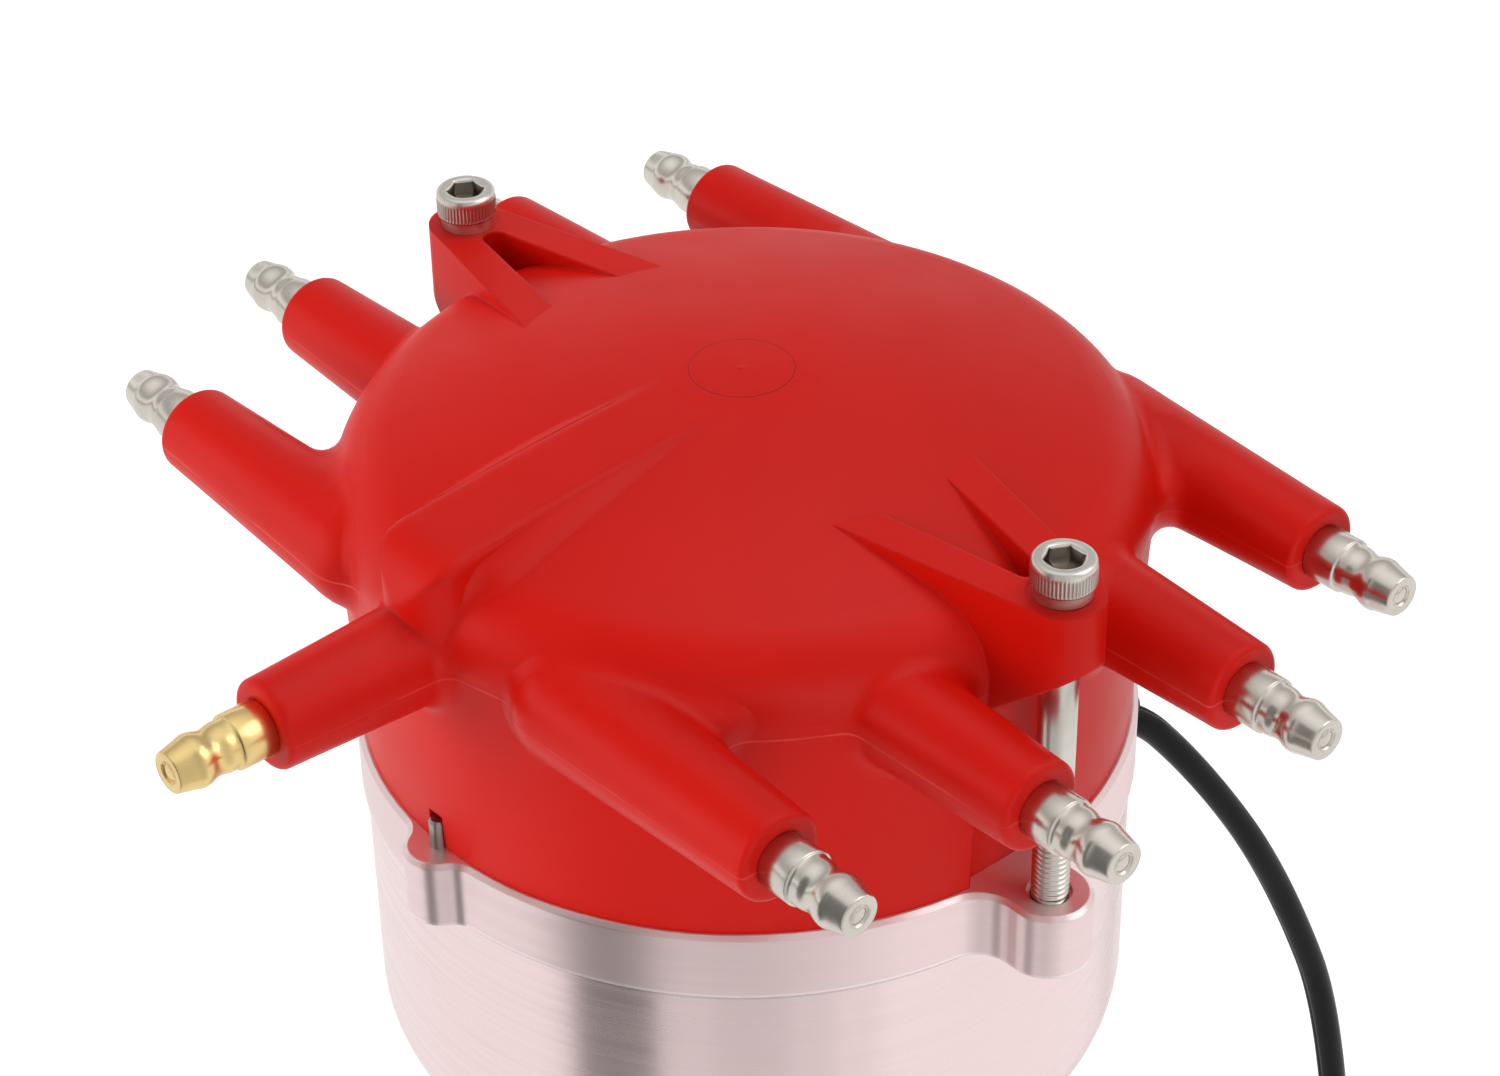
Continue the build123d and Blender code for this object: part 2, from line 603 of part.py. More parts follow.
def drive_gear():
    """Helical drive gear with a pinned hub below the teeth."""
    pitch = 360 / GEAR_TEETH
    corners = []
    for tooth in range(GEAR_TEETH):
        for r, share in ((GEAR_ROOT_R, -0.36), (GEAR_TIP_R, -0.15), (GEAR_TIP_R, 0.15), (GEAR_ROOT_R, 0.36)):
            corners.append(polar(r, (tooth + share) * pitch))
    teeth = make_face(Polyline(*corners, close=True))
    gear = extrude_twisted(teeth, GEAR_LEN, GEAR_HELIX)
    gear = Pos(0, 0, GEAR_TOP - GEAR_LEN) * gear
    gear += cyl(GEAR_HUB_R, GEAR_TOP - GEAR_LEN - GEAR_HUB_LEN, GEAR_TOP - GEAR_LEN)
    gear -= cyl(SHAFT_R, GEAR_TOP - 60, GEAR_TOP + 1)
    return gear - gear_pin_bore(GEAR_PIN_R)


def extrude_twisted(face, height, turn):
    """Stack of straight lofts: each layer turns the outline a little further."""
    layers = 6
    body = None
    for k in range(layers):
        lower = Pos(0, 0, height * k / layers) * Rot(0, 0, turn * k / layers) * face
        upper = Pos(0, 0, height * (k + 1) / layers) * Rot(0, 0, turn * (k + 1) / layers) * face
        layer = loft([lower, upper], ruled=True)
        body = layer if body is None else body + layer
    return body


def gear_pin():
    pin = Pos(0, 0, GEAR_TOP - GEAR_LEN - GEAR_HUB_LEN / 2) * Rot(90, 0, 0) * Cylinder(
        GEAR_PIN_R, 2 * GEAR_HUB_R - 0.4)
    return pin


def centre_cam():
    """Two-lobed cam on the shaft's end, turned by its flat."""
    plan = Ellipse(CAM_LONG, CAM_SHORT)
    cam = Pos(0, 0, at(CAM_Z)) * extrude(plan, WEIGHT_T)
    spigot = cyl(SHAFT_R - 1.5, at(CAM_Z - 1), at(CAM_TOP - 1))
    flats = block(SHAFT_R - 2.2, 9, -9, 9, at(CAM_Z - 1), at(CAM_TOP))
    return cam - (spigot - flats) - cyl(1.5, at(CAM_Z), at(CAM_TOP + 1))


def cam_screw():
    head = tube(3.2, 0.9, at(CAM_TOP), at(CAM_TOP + 1.6)) + cyl(3.2, at(CAM_TOP), at(CAM_TOP + 0.6))
    return head + cyl(1.2, at(CAM_TOP - 9), at(CAM_TOP + 0.2))


# ------------------------------------------------------------ advance mechanism
def advance_plate():
    """Sleeve that turns on the shaft, with the plate that carries the weights."""
    top = at(PLATE_Z + PLATE_T)
    plate = cyl(PLATE_R, at(PLATE_Z), top)
    for angle in (95, 275):
        x, y = polar(PLATE_R + 6, angle)
        plate -= cyl(13, at(PLATE_Z - 1), top + 1, x, y)
    plate = chamfer(plate.edges().group_by(Axis.Z)[-1], 0.4)
    sleeve = cyl(SLEEVE_R, at(SEAT_TOP) + SHIM_T + SLIDING / 2, at(PLATE_Z))
    return plate + sleeve - cyl(SHAFT_R + RUNNING, at(-60), at(10))


def plate_pins():
    """Weight pivots and the two posts that hold the springs."""
    pins = []
    base = at(PLATE_Z + PLATE_T)
    for turn in (0, 180):
        x, y = polar(WEIGHT_PIVOT, turn)
        pins.append(cyl(WEIGHT_PIN_R - 0.05, base, at(CAM_TOP + 0.9), x, y)
                    + cyl(WEIGHT_PIN_R + 1.0, at(CAM_TOP + 0.3), at(CAM_TOP + 1.1), x, y))
        post = cyl(SPRING_POST, base, at(SPRING_POST_TOP), *spring_posts()[1])
        pins.append(Rot(0, 0, turn) * post)
    return pins


def spring_posts():
    """Post on the weight and, in line with the way it moves, the post on the plate."""
    x, y = polar(WEIGHT_POST_R, WEIGHT_POST_ANGLE)
    reach = sqrt((x - WEIGHT_PIVOT) ** 2 + y ** 2)
    away = (y / reach, -(x - WEIGHT_PIVOT) / reach)
    return (x, y), (x - away[0] * SPRING_LEN, y - away[1] * SPRING_LEN)


def weight(turn):
    """Crescent weight that swings out about its pin."""
    plan = Circle(29.0) - Circle(11.2)
    keep = make_face(Polyline((0, 0), polar(60, -8), polar(75, 45), polar(60, 104), close=True))
    plan = plan & keep
    plan = fillet(plan.vertices(), 2.0)
    plan += Pos(WEIGHT_PIVOT, 0) * Circle(5.4)
    plan -= Pos(WEIGHT_PIVOT, 0) * Circle(WEIGHT_PIN_R)
    body = Pos(0, 0, at(CAM_Z)) * extrude(plan, WEIGHT_T)
    x, y = polar(WEIGHT_POST_R, WEIGHT_POST_ANGLE)
    body += cyl(SPRING_POST, at(CAM_TOP - 1), at(SPRING_POST_TOP), x, y)
    return Rot(0, 0, turn) * body


def spring(turn):
    """Tension spring, hooked over a post on the plate and the post on a weight."""
    (x1, y1), (x0, y0) = spring_posts()
    length = sqrt((x1 - x0) ** 2 + (y1 - y0) ** 2)
    angle = degrees(atan2(y1 - y0, x1 - x0))
    eye = 1.75
    turns = 9
    start, end = eye + 0.9, length - eye - 0.9
    step = (end - start) / turns
    points = [(0, start), (1.5, start)]
    for k in range(turns):
        z = start + k * step
        points += [(2.0, z + step * 0.3), (2.0, z + step * 0.7), (1.5, z + step)]
    points.append((0, end))
    coil = turned(points)
    coil = Rot(0, 90, 0) * coil
    for x in (0, length):
        ring = Pos(x, 0, 0) * (Cylinder(eye + 0.35, 0.7) - Cylinder(SPRING_POST + RUNNING, 2))
        coil += ring
    for x, sign in ((eye, 1), (length - eye, -1)):
        coil += Pos(x + sign * 0.5, 0, 0) * Rot(0, 90, 0) * Cylinder(0.3, 1.4)
    coil -= Pos(length + 5, 0, 0) * Box(10, 10, 10)
    return Rot(0, 0, turn) * Pos(x0, y0, at(SPRING_Z)) * Rot(0, 0, angle) * coil


def reluctor():
    """Eight-pointed trigger wheel pressed on the sleeve."""
    corners = []
    for pole in range(POLE_COUNT):
        for r, offset in ((RELUCTOR_ROOT_R, -13.0), (RELUCTOR_R, -4.0), (RELUCTOR_R, 4.0),
                          (RELUCTOR_ROOT_R, 13.0)):
            corners.append(polar(r, CABLE_ANGLE + 360 / POLE_COUNT * pole + offset))
    star = make_face(Polyline(*corners, close=True)) - Circle(SLEEVE_R)
    lighten = [Pos(*polar(14.0, CABLE_ANGLE + 60 * k)) * Circle(2.2) for k in range(6)]
    for hole in lighten:
        star -= hole
    return Pos(0, 0, at(RELUCTOR_Z)) * extrude(star, RELUCTOR_H)


# ---------------------------------------------------------------------- pickup
def pickup_bracket():
    plate = block(PICKUP_IN, CABLE_START, -15, 15, at(BRACKET_Z), at(BRACKET_Z + BRACKET_T))
    plate = fillet(plate.edges().filter_by(Axis.Z), 3.0)
    for side in (1, -1):
        plate -= cyl(1.7, at(BRACKET_Z - 1), at(BRACKET_Z + 3), BRACKET_SCREW_X, side * BRACKET_SCREW_Y)
    return lead(plate)


def pickup_coil():
    body = block(PICKUP_IN + 0.5, CABLE_START, -PICKUP_HALF, PICKUP_HALF, at(PICKUP_LOW), at(PLATE_Z - 1.6))
    body = fillet(body.edges().filter_by(Axis.X), 1.6)
    return lead(body - block(26, 33, -2.6, 2.6, at(CORE_MID - 3.4), at(CORE_MID + 3.4)))


def pole_piece():
    tip = RELUCTOR_R + POLE_GAP
    nose = make_face(Polyline((tip, -0.9), (28.0, -2.6), (33.0, -2.6), (33.0, 2.6), (28.0, 2.6),
                              (tip, 0.9), close=True))
    return lead(Pos(0, 0, at(CORE_MID - 3.4)) * extrude(nose, 6.8))


def pickup_screws():
    screws = []
    for side in (1, -1):
        z = at(BRACKET_Z + BRACKET_T)
        head = cyl(2.9, z, z + 2.0, BRACKET_SCREW_X, side * BRACKET_SCREW_Y)
        head = fillet(head.edges().sort_by(Axis.Z)[-1], 0.8)
        slot = block(BRACKET_SCREW_X - 4, BRACKET_SCREW_X + 4, side * BRACKET_SCREW_Y - 0.35, side * BRACKET_SCREW_Y + 0.35, z + 1.2, z + 3)
        shank = cyl(1.5, z - BRACKET_T - 8, z + 0.5, BRACKET_SCREW_X, side * BRACKET_SCREW_Y)
        screws.append(lead(head - slot + shank))
    return screws


def grommet():
    """Rubber grommet in the bowl wall with a tapered tail that follows the lead's first bend."""
    points = [(0, -BOWL_WALL - 1.8), (GROMMET_FLANGE_R, -BOWL_WALL - 1.8),
              (GROMMET_FLANGE_R, -BOWL_WALL - 0.6), (GROMMET_R, -BOWL_WALL - 0.6), (GROMMET_R, 0.2),
              (GROMMET_FLANGE_R, 0.2), (GROMMET_FLANGE_R, 1.5), (0, 1.5)]
    body = along_x(turned(points), BOWL_R, 0, at(CABLE_Z))
    radius = cable_path()[1][0]
    bend_x = CABLE_ROUTE[0][0] - 0.45 * (CABLE_ROUTE[0][0] - CABLE_START)
    first = asin((BOWL_R + 1.0 - bend_x) / radius)
    last = first + GROMMET_TAIL / radius

    def on_bend(turn):
        return Vector(bend_x + radius * sin(turn), 0, at(CABLE_Z) - radius * (1 - cos(turn)))

    def section(turn, r):
        return Plane(origin=on_bend(turn), z_dir=(cos(turn), 0, -sin(turn))) * Circle(r)

    path = ThreePointArc(on_bend(first), on_bend((first + last) / 2), on_bend(last))
    tail = sweep([section(first, CABLE_D / 2 + 1.6), section(last, CABLE_D / 2 + 0.6)], path=path,
                 multisection=True)
    return lead(body + tail) - pickup_cable()


def cable_path():
    """Route of the lead in the vertical plane through the axis at CABLE_ANGLE."""
    flat = [(CABLE_START, CABLE_Z)] + CABLE_ROUTE
    points = [(*polar(r, CABLE_ANGLE), at(z)) for r, z in flat]
    radii = []
    for before, corner, after in zip(flat, flat[1:], flat[2:]):
        a = atan2(corner[1] - before[1], corner[0] - before[0])
        b = atan2(after[1] - corner[1], after[0] - corner[0])
        run_in = sqrt((corner[0] - before[0]) ** 2 + (corner[1] - before[1]) ** 2)
        run_out = sqrt((after[0] - corner[0]) ** 2 + (after[1] - corner[1]) ** 2)
        radii.append(0.45 * min(run_in, run_out) / tan(abs(b - a) / 2))
    return points, radii


def pickup_cable():
    points, radii = cable_path()
    print("lead bend radii", [round(r, 1) for r in radii], "mm, least", round(min(radii) / CABLE_D, 1), "diameters")
    route = FilletPolyline(*points, radius=radii)
    start = Plane(origin=points[0], z_dir=Vector(*points[1]) - Vector(*points[0]))
    body = sweep(start * Circle(CABLE_D / 2), path=route)
    section = pi * CABLE_D ** 2 / 4
    print("lead length", round(route.length, 1), "volume over section",
          round(body.volume / section, 1))
    return body


def plug_frame():
    points, radii = cable_path()
    end, before = Vector(*points[-1]), Vector(*points[-2])
    across = Vector(-sin(radians(CABLE_ANGLE)), cos(radians(CABLE_ANGLE)), 0)
    return Plane(origin=points[-1], z_dir=end - before, x_dir=across)


def plug_shell():
    """Two-way connector shell, open at its mouth, with a latch rib."""
    r = CABLE_D / 2
    boot = Pos(0, 0, 0.5) * Cone(r + 0.8, r + 1.5, 7) - Cylinder(r, 20)
    shell = Pos(0, 0, 3 + PLUG_LEN / 2) * fillet(Box(PLUG_W, PLUG_D, PLUG_LEN).edges().filter_by(Axis.Z), 1.4)
    mouth = Pos(0, 0, 3 + PLUG_LEN - 4.5) * Box(PLUG_W - 2.6, PLUG_D - 2.6, 9.2)
    latch = Pos(0, PLUG_D / 2 + 0.7, 3 + PLUG_LEN - 8) * Box(4, 1.6, 8)
    body = shell - mouth + latch + boot
    body -= Pos(0, 0, -10) * Cylinder(r, 20)
    return plug_frame() * body


def plug_pins():
    pins = []
    for side in (1, -1):
        z0 = 3 + PLUG_LEN - 9.1
        pins.append(plug_frame() * Pos(side * 2.6, 0, z0 + 3.4) * Box(1.5, 0.8, 6.8))
    return pins


# ----------------------------------------------------------------------- rotor
def standoffs():
    posts = []
    for turn in (0, 180):
        x, y = polar(STANDOFF_AT, STANDOFF_ANGLE + turn)
        posts.append(cyl(STANDOFF_R, at(PLATE_Z + PLATE_T), at(ROTOR_Z), x, y)
                     - cyl(ROTOR_SCREW_R, at(0), at(ROTOR_Z + 1), x, y))
    return posts


def rotor_body():
    """Moulded rotor: disc on two posts, a hub and an arm for the blade."""
    disc = cyl(ROTOR_R, at(ROTOR_Z), at(ROTOR_Z + ROTOR_T))
    disc = fillet(disc.edges().sort_by(Axis.Z)[-1], 1.0)
    hub = cyl(10.5, at(ROTOR_Z), at(ROTOR_ARM_TOP))
    arm = block(0, BLADE_TIP - 2.0, -6.5, 6.5, at(ROTOR_Z), at(ROTOR_ARM_TOP))
    rib = block(-26, 0, -1.6, 1.6, at(ROTOR_Z), at(ROTOR_ARM_TOP - 5))
    body = disc + hub + (arm & cyl(BLADE_TIP - 2.0, at(0), at(40))) + rib
    for angle in (105, -105):
        body += Rot(0, 0, angle) * block(8, 27, -1.3, 1.3, at(ROTOR_Z), at(ROTOR_ARM_TOP - 7))
    body = Rot(0, 0, ROTOR_AIM) * body
    for turn in (0, 180):
        x, y = polar(STANDOFF_AT, STANDOFF_ANGLE + turn)
        body += cyl(4.6, at(ROTOR_Z), at(ROTOR_Z + ROTOR_T + 0.6), x, y)
        body -= cyl(ROTOR_SCREW_R + 0.2, at(ROTOR_Z - 1), at(ROTOR_Z + 12), x, y)
    return body - cyl(6.5, at(ROTOR_Z - 1), at(ROTOR_Z + 5))


def rotor_blade():
    """Brass blade along the arm with a turned-down tip that sweeps the electrodes."""
    top = at(ROTOR_ARM_TOP)
    bar = block(-7, BLADE_TIP, -4.0, 4.0, top, top + BLADE_T)
    tip = block(BLADE_TIP - 1.6, BLADE_TIP, -4.0, 4.0, top - 5.0, top + BLADE_T)
    blade = (bar + tip) & cyl(BLADE_TIP, at(0), at(40))
    return Rot(0, 0, ROTOR_AIM) * blade


def rotor_contact():
    """Leaf spring riveted to the blade, with the button the brush rides on."""
    base = at(ROTOR_ARM_TOP) + BLADE_T
    rise = at(BRUSH_LOW) - SLIDING - 1.2
    foot = block(-6.6, -3.0, -2.6, 2.6, base, base + 0.5)
    slope = make_face(Polyline((-3.6, base), (3.2, rise), (3.2, rise + 0.6), (-3.6, base + 0.7), close=True))
    leaf = extrude(Rot(90, 0, 0) * slope, 2.2, both=True)
    button = cyl(2.4, rise - 0.2, rise + 1.2)
    return Rot(0, 0, ROTOR_AIM) * (foot + leaf + button)


def rotor_screws():
    screws = []
    seat = at(ROTOR_Z + ROTOR_T + 0.6)
    for turn in (0, 180):
        x, y = polar(STANDOFF_AT, STANDOFF_ANGLE + turn)
        head = fillet(cyl(3.3, seat, seat + 2.2, x, y).edges().sort_by(Axis.Z)[-1], 0.9)
        cross = Pos(x, y, seat + 2.2) * (Box(4, 0.8, 2) + Box(0.8, 4, 2))
        screws.append(head - cross + cyl(ROTOR_SCREW_R, seat - 10, seat + 0.5, x, y))
    return screws


# ------------------------------------------------------------ brush and spring
def carbon_brush():
    brush = cyl(BRUSH_R, at(BRUSH_LOW), at(BRUSH_LOW + BRUSH_LEN))
    return fillet(brush.edges().sort_by(Axis.Z)[0], 1.0)


def brush_spring():
    """Compression spring between the brush and the coil conductor."""
    turns, wire = 4, 0.6
    z0 = at(BRUSH_LOW + BRUSH_LEN)
    rings = None
    step = (BRUSH_SPRING_LEN - wire) / turns
    for k in range(turns + 1):
        z = z0 + wire / 2 + k * step
        ring = tube(1.9, 1.3, z - wire / 2, z + wire / 2)
        rings = ring if rings is None else rings + ring
        if k:
            rings += Rot(0, 0, 180 * k) * block(1.3, 1.9, -0.5, 0.5, z - step, z)
    return rings


# ---------------------------------------------------------------------- export
def group(solids):
    return Compound(children=list(solids))


cap = build_cap()
save(cap, "cap")
save(group(along_x(terminal_profile(), x, y, at(TOWER_Z), angle) for x, y, angle in tower_places()),
     "plug_terminals")
save(along_x(terminal_profile(), COIL_PLACE[0], COIL_PLACE[1], at(TOWER_Z), COIL_PLACE[2]), "coil_terminal")
save(group(electrode_posts()), "electrode_posts")
save(group(conductor_strips()), "conductor_strips")
save(coil_conductor(), "coil_conductor")
save(brush_spring(), "brush_spring")
save(carbon_brush(), "carbon_brush")
save(group(cap_screws()), "cap_screws")
save(group(lock_washers()), "lock_washers")
save(locating_pin(), "locating_pin")
save(housing(), "housing")
save(group(o_rings()), "o_rings")
save(upper_bearing(), "upper_bearing")
save(lower_bushing(), "lower_bushing")
save(group(shims()), "thrust_washers")
save(main_shaft(), "main_shaft")
save(drive_gear(), "drive_gear")
save(gear_pin(), "gear_pin")
save(centre_cam(), "centre_cam")
save(cam_screw(), "cam_screw")
save(advance_plate(), "advance_plate")
save(group(plate_pins()), "plate_pins")
save(weight(0), "weight_a")
save(weight(180), "weight_b")
save(spring(0), "spring_a")
save(spring(180), "spring_b")
save(reluctor(), "reluctor")
save(pickup_bracket(), "pickup_bracket")
save(pickup_coil(), "pickup_coil")
save(pole_piece(), "pole_piece")
save(group(pickup_screws()), "pickup_screws")
save(grommet(), "grommet")
save(pickup_cable(), "pickup_cable")
save(plug_shell(), "plug_shell")
save(group(plug_pins()), "plug_pins")
save(group(standoffs()), "standoffs")
save(rotor_body(), "rotor_body")
save(rotor_blade(), "rotor_blade")
save(rotor_contact(), "rotor_contact")
save(group(rotor_screws()), "rotor_screws")
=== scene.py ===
import json
import math

import bpy
from mathutils import Matrix, Vector
from mathutils.bvhtree import BVHTree


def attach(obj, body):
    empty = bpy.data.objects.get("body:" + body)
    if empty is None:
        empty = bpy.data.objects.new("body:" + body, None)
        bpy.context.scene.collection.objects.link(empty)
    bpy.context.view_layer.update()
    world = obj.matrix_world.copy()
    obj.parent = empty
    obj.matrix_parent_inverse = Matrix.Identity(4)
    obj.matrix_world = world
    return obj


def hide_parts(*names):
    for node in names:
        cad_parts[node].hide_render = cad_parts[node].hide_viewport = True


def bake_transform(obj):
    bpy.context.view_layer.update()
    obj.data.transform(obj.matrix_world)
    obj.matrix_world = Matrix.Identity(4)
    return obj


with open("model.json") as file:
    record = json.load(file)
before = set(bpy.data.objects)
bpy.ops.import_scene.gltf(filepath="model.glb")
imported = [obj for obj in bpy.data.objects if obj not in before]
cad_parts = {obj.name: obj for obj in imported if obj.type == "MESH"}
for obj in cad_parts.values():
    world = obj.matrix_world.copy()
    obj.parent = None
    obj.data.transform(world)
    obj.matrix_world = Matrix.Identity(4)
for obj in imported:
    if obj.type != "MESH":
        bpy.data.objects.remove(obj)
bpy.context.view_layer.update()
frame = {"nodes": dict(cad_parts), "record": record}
NODES = frame["nodes"]

MM = 0.001

# Sizes in mm, as in the CAD part.
FLANGE = 82.0                 # cap flange above the seat
RING_T = 9.5                  # flange ring of the housing
TOWER_Z = FLANGE + 30.5       # axes of the plug towers
BOSS_TOP = FLANGE + 44.8      # screw bosses of the cap
SCREW_X = 56.5                # cap screws from the axis
SCREW_R, PITCH = 2.4, 0.794
HEAD_R, HEAD_H = 3.96, 3.7
WASHER_R, WASHER_T = 3.55, 1.45
SEAT = BOSS_TOP + WASHER_T    # underside of the screw heads
SHANK_LENGTH, THREAD_LENGTH = 57.1, 24.0
SOCKET_HALF = 2.18            # hexagon, flat to middle
KNURLS, KNURL_DEPTH = 26, 0.13
THREAD_DEPTH = 0.44


def mm(*values):
    return Vector([v * MM for v in values])


# --------------------------------------------------------------------- camera
camera_data = bpy.data.cameras.new("camera")
camera = bpy.data.objects.new("camera", camera_data)
bpy.context.scene.collection.objects.link(camera)
# The axes and the place are those that fit the photograph; the lens isn't shifted.
right = Vector((0.652000, 0.758106, -0.013082))
up = Vector((-0.429922, 0.383851, 0.817206))
back = Vector((0.624550, -0.527194, 0.576197))
stand = mm(291.756, -245.370, 291.436 + FLANGE)
camera.matrix_world = Matrix(((right.x, up.x, back.x, stand.x), (right.y, up.y, back.y, stand.y),
                              (right.z, up.z, back.z, stand.z), (0, 0, 0, 1)))
camera_data.sensor_width = 36
camera_data.lens = 87.66
camera_data.clip_start = 0.01
bpy.context.scene.camera = camera
bpy.context.scene.view_settings.view_transform = "Standard"


# ------------------------------------------------------------------ materials
class Shader:
    """A material's node tree with short names for what every finish needs."""

    def __init__(self, name):
        self.material = bpy.data.materials.new(name)
        self.material.use_nodes = True
        self.tree = self.material.node_tree
        self.bsdf = self.tree.nodes["Principled BSDF"]
        self.coords = self.tree.nodes.new("ShaderNodeTexCoord")
        self.normal = None

    def node(self, kind, **settings):
        made = self.tree.nodes.new(kind)
        for key, value in settings.items():
            setattr(made, key, value)
        return made

    def link(self, source, target):
        self.tree.links.new(source, target)

    def put(self, socket, value):
        if isinstance(value, bpy.types.NodeSocket):
            self.link(value, socket)
        else:
            socket.default_value = value

    def math(self, operation, a, b=0.0):
        made = self.node("ShaderNodeMath", operation=operation)
        for socket, value in zip(made.inputs, (a, b)):
            self.put(socket, value)
        return made.outputs[0]

    def length(self, a, b):
        return self.math("SQRT", self.math("ADD", self.math("MULTIPLY", a, a), self.math("MULTIPLY", b, b)))

    def noise(self, scale, detail=3.0, stretch=(1, 1, 1), rough=0.55):
        place = self.node("ShaderNodeMapping")
        place.inputs["Scale"].default_value = stretch
        self.link(self.coords.outputs["Object"], place.inputs["Vector"])
        made = self.node("ShaderNodeTexNoise")
        made.inputs["Scale"].default_value = scale
        made.inputs["Detail"].default_value = detail
        made.inputs["Roughness"].default_value = rough
        self.link(place.outputs["Vector"], made.inputs["Vector"])
        return made.outputs["Fac"]

    def ramp(self, value, low, high, out_low=0.0, out_high=1.0):
        made = self.node("ShaderNodeMapRange", clamp=True)
        self.put(made.inputs["Value"], value)
        for key, number in zip(("From Min", "From Max", "To Min", "To Max"), (low, high, out_low, out_high)):
            made.inputs[key].default_value = number
        return made.outputs["Result"]

    def mix(self, factor, a, b):
        made = self.node("ShaderNodeMix", data_type="RGBA")
        self.put(made.inputs["Factor"], factor)
        self.put(made.inputs["A"], a)
        self.put(made.inputs["B"], b)
        return made.outputs["Result"]

    def soften(self, radius):
        """Rounds edges in shading only."""
        made = self.node("ShaderNodeBevel", samples=6)
        self.put(made.inputs["Radius"], radius)
        self.normal = made.outputs["Normal"]

    def bump(self, height, depth, strength=1.0):
        made = self.node("ShaderNodeBump")
        made.inputs["Strength"].default_value = strength
        made.inputs["Distance"].default_value = depth
        self.put(made.inputs["Height"], height)
        if self.normal is not None:
            self.link(self.normal, made.inputs["Normal"])
        self.normal = made.outputs["Normal"]

    def split(self):
        made = self.node("ShaderNodeSeparateXYZ")
        self.link(self.coords.outputs["Object"], made.inputs[0])
        return made.outputs

    def finish(self, color, rough, metal=0.0, **more):
        self.put(self.bsdf.inputs["Base Color"], color)
        self.put(self.bsdf.inputs["Roughness"], rough)
        self.put(self.bsdf.inputs["Metallic"], metal)
        for key, value in more.items():
            self.put(self.bsdf.inputs[key.replace("_", " ")], value)
        if self.normal is not None:
            self.link(self.normal, self.bsdf.inputs["Normal"])
        return self.material


def moulding(name, color, dark, rough, gloss=0.3):
    """Moulded plastic: slight mottling, fine grain and handling wear."""
    s = Shader(name)
    s.soften(0.4 * MM)
    s.bump(s.noise(2600, 2), 0.00002, 0.5)
    tint = s.mix(s.ramp(s.noise(55, 4), 0.35, 0.7), color, dark)
    polish = s.ramp(s.noise(130, 5), 0.3, 0.75, rough - 0.05, rough + 0.07)
    return s.finish(tint, polish, Specular_IOR_Level=gloss)


def steel(name, color, rough, lines=0.0, grain=900, stretch=(1, 1, 1), dulling=0.86):
    """Bare or plated metal: fine machining lines, smudges and a little dulling."""
    s = Shader(name)
    s.soften(0.00012)
    if lines:
        s.bump(s.noise(grain, 2, stretch), lines, 0.6)
    dull = s.mix(s.ramp(s.noise(150, 4), 0.4, 0.75), color, [c * dulling for c in color[:3]] + [1.0])
    polish = s.ramp(s.noise(210, 4), 0.3, 0.75, rough * 0.88, rough * 1.15)
    return s.finish(dull, polish, 1.0)


def cap_red(name="cap_red", soft=True):
    """The cap's satin red, with the faint ejector ring and gate mark at its top and a parting line; the ring's
    groove gets painted shade, darker on one half, and the parting line a painted highlight.

    With soft, edges near the coil-lead ridge are rounded in shading; the fillets laid over it do without.
    """
    s = Shader(name)
    x, y, z = s.split()
    beside_ridge = s.ramp(s.math("ABSOLUTE", x), 11 * MM, 15 * MM, 1.0, 0.0)
    above_skirt = s.ramp(z, (TOWER_Z + 1) * MM, (TOWER_Z + 4) * MM)
    before_mark = s.ramp(y, -12 * MM, -5 * MM, 1.0, 0.0)
    near_ridge = s.math("MULTIPLY", s.math("MULTIPLY", beside_ridge, above_skirt), before_mark)
    if soft:
        s.soften(s.ramp(near_ridge, 0.0, 1.0, 0.5 * MM, 1.9 * MM))
    from_axis = s.length(x, y)
    top = s.math("GREATER_THAN", z, (FLANGE + 40) * MM)
    ring = s.ramp(s.math("ABSOLUTE", s.math("SUBTRACT", from_axis, 6.64 * MM)), 0.0, 0.11 * MM, 1.0, 0.0)
    inside = s.ramp(from_axis, 6.6 * MM, 6.7 * MM, 0.3, 0.0)
    gate = s.ramp(from_axis, 0.25 * MM, 0.6 * MM, 1.0, 0.0)
    mark = s.math("SUBTRACT", s.math("ADD", s.math("MULTIPLY", gate, 1.2), inside), ring)
    s.bump(s.math("MULTIPLY", mark, top), 0.00013, 1.0)
    parting = s.ramp(s.math("ABSOLUTE", s.math("SUBTRACT", z, TOWER_Z * MM)), 0.05 * MM, 0.2 * MM, 1.0, 0.0)
    s.bump(s.math("MULTIPLY", parting, s.ramp(s.noise(60, 3), 0.4, 0.6, 0.25, 1.0)), 0.00004, 0.8)
    s.bump(s.noise(150, 3), 0.00003, 0.3)
    s.bump(s.noise(2300, 2), 0.000012, 0.5)
    tint = s.mix(s.ramp(s.noise(38, 4), 0.3, 0.75), (0.61, 0.0066, 0.0022, 1), (0.57, 0.0054, 0.0018, 1))
    # Painted highlight: a lighter red along the parting line, in broken segments.
    parting_highlight = s.math("MULTIPLY", parting, s.ramp(s.noise(70, 2), 0.45, 0.6, 0.05, 0.6))
    tint = s.mix(parting_highlight, tint, (0.80, 0.10, 0.07, 1))
    # Painted shade: the ring's groove is darkened, more on one half of the cap.
    shaded_half = s.ramp(s.math("SUBTRACT", x, y), 0.0, 8 * MM, 0.35, 1.0)
    tint = s.mix(s.math("MULTIPLY", s.math("MULTIPLY", ring, top), shaded_half), tint, (0.22, 0.004, 0.002, 1))
    polish = s.ramp(s.noise(70, 5), 0.3, 0.75, 0.36, 0.46)
    return s.finish(tint, polish, 0.0, Specular_IOR_Level=0.14)


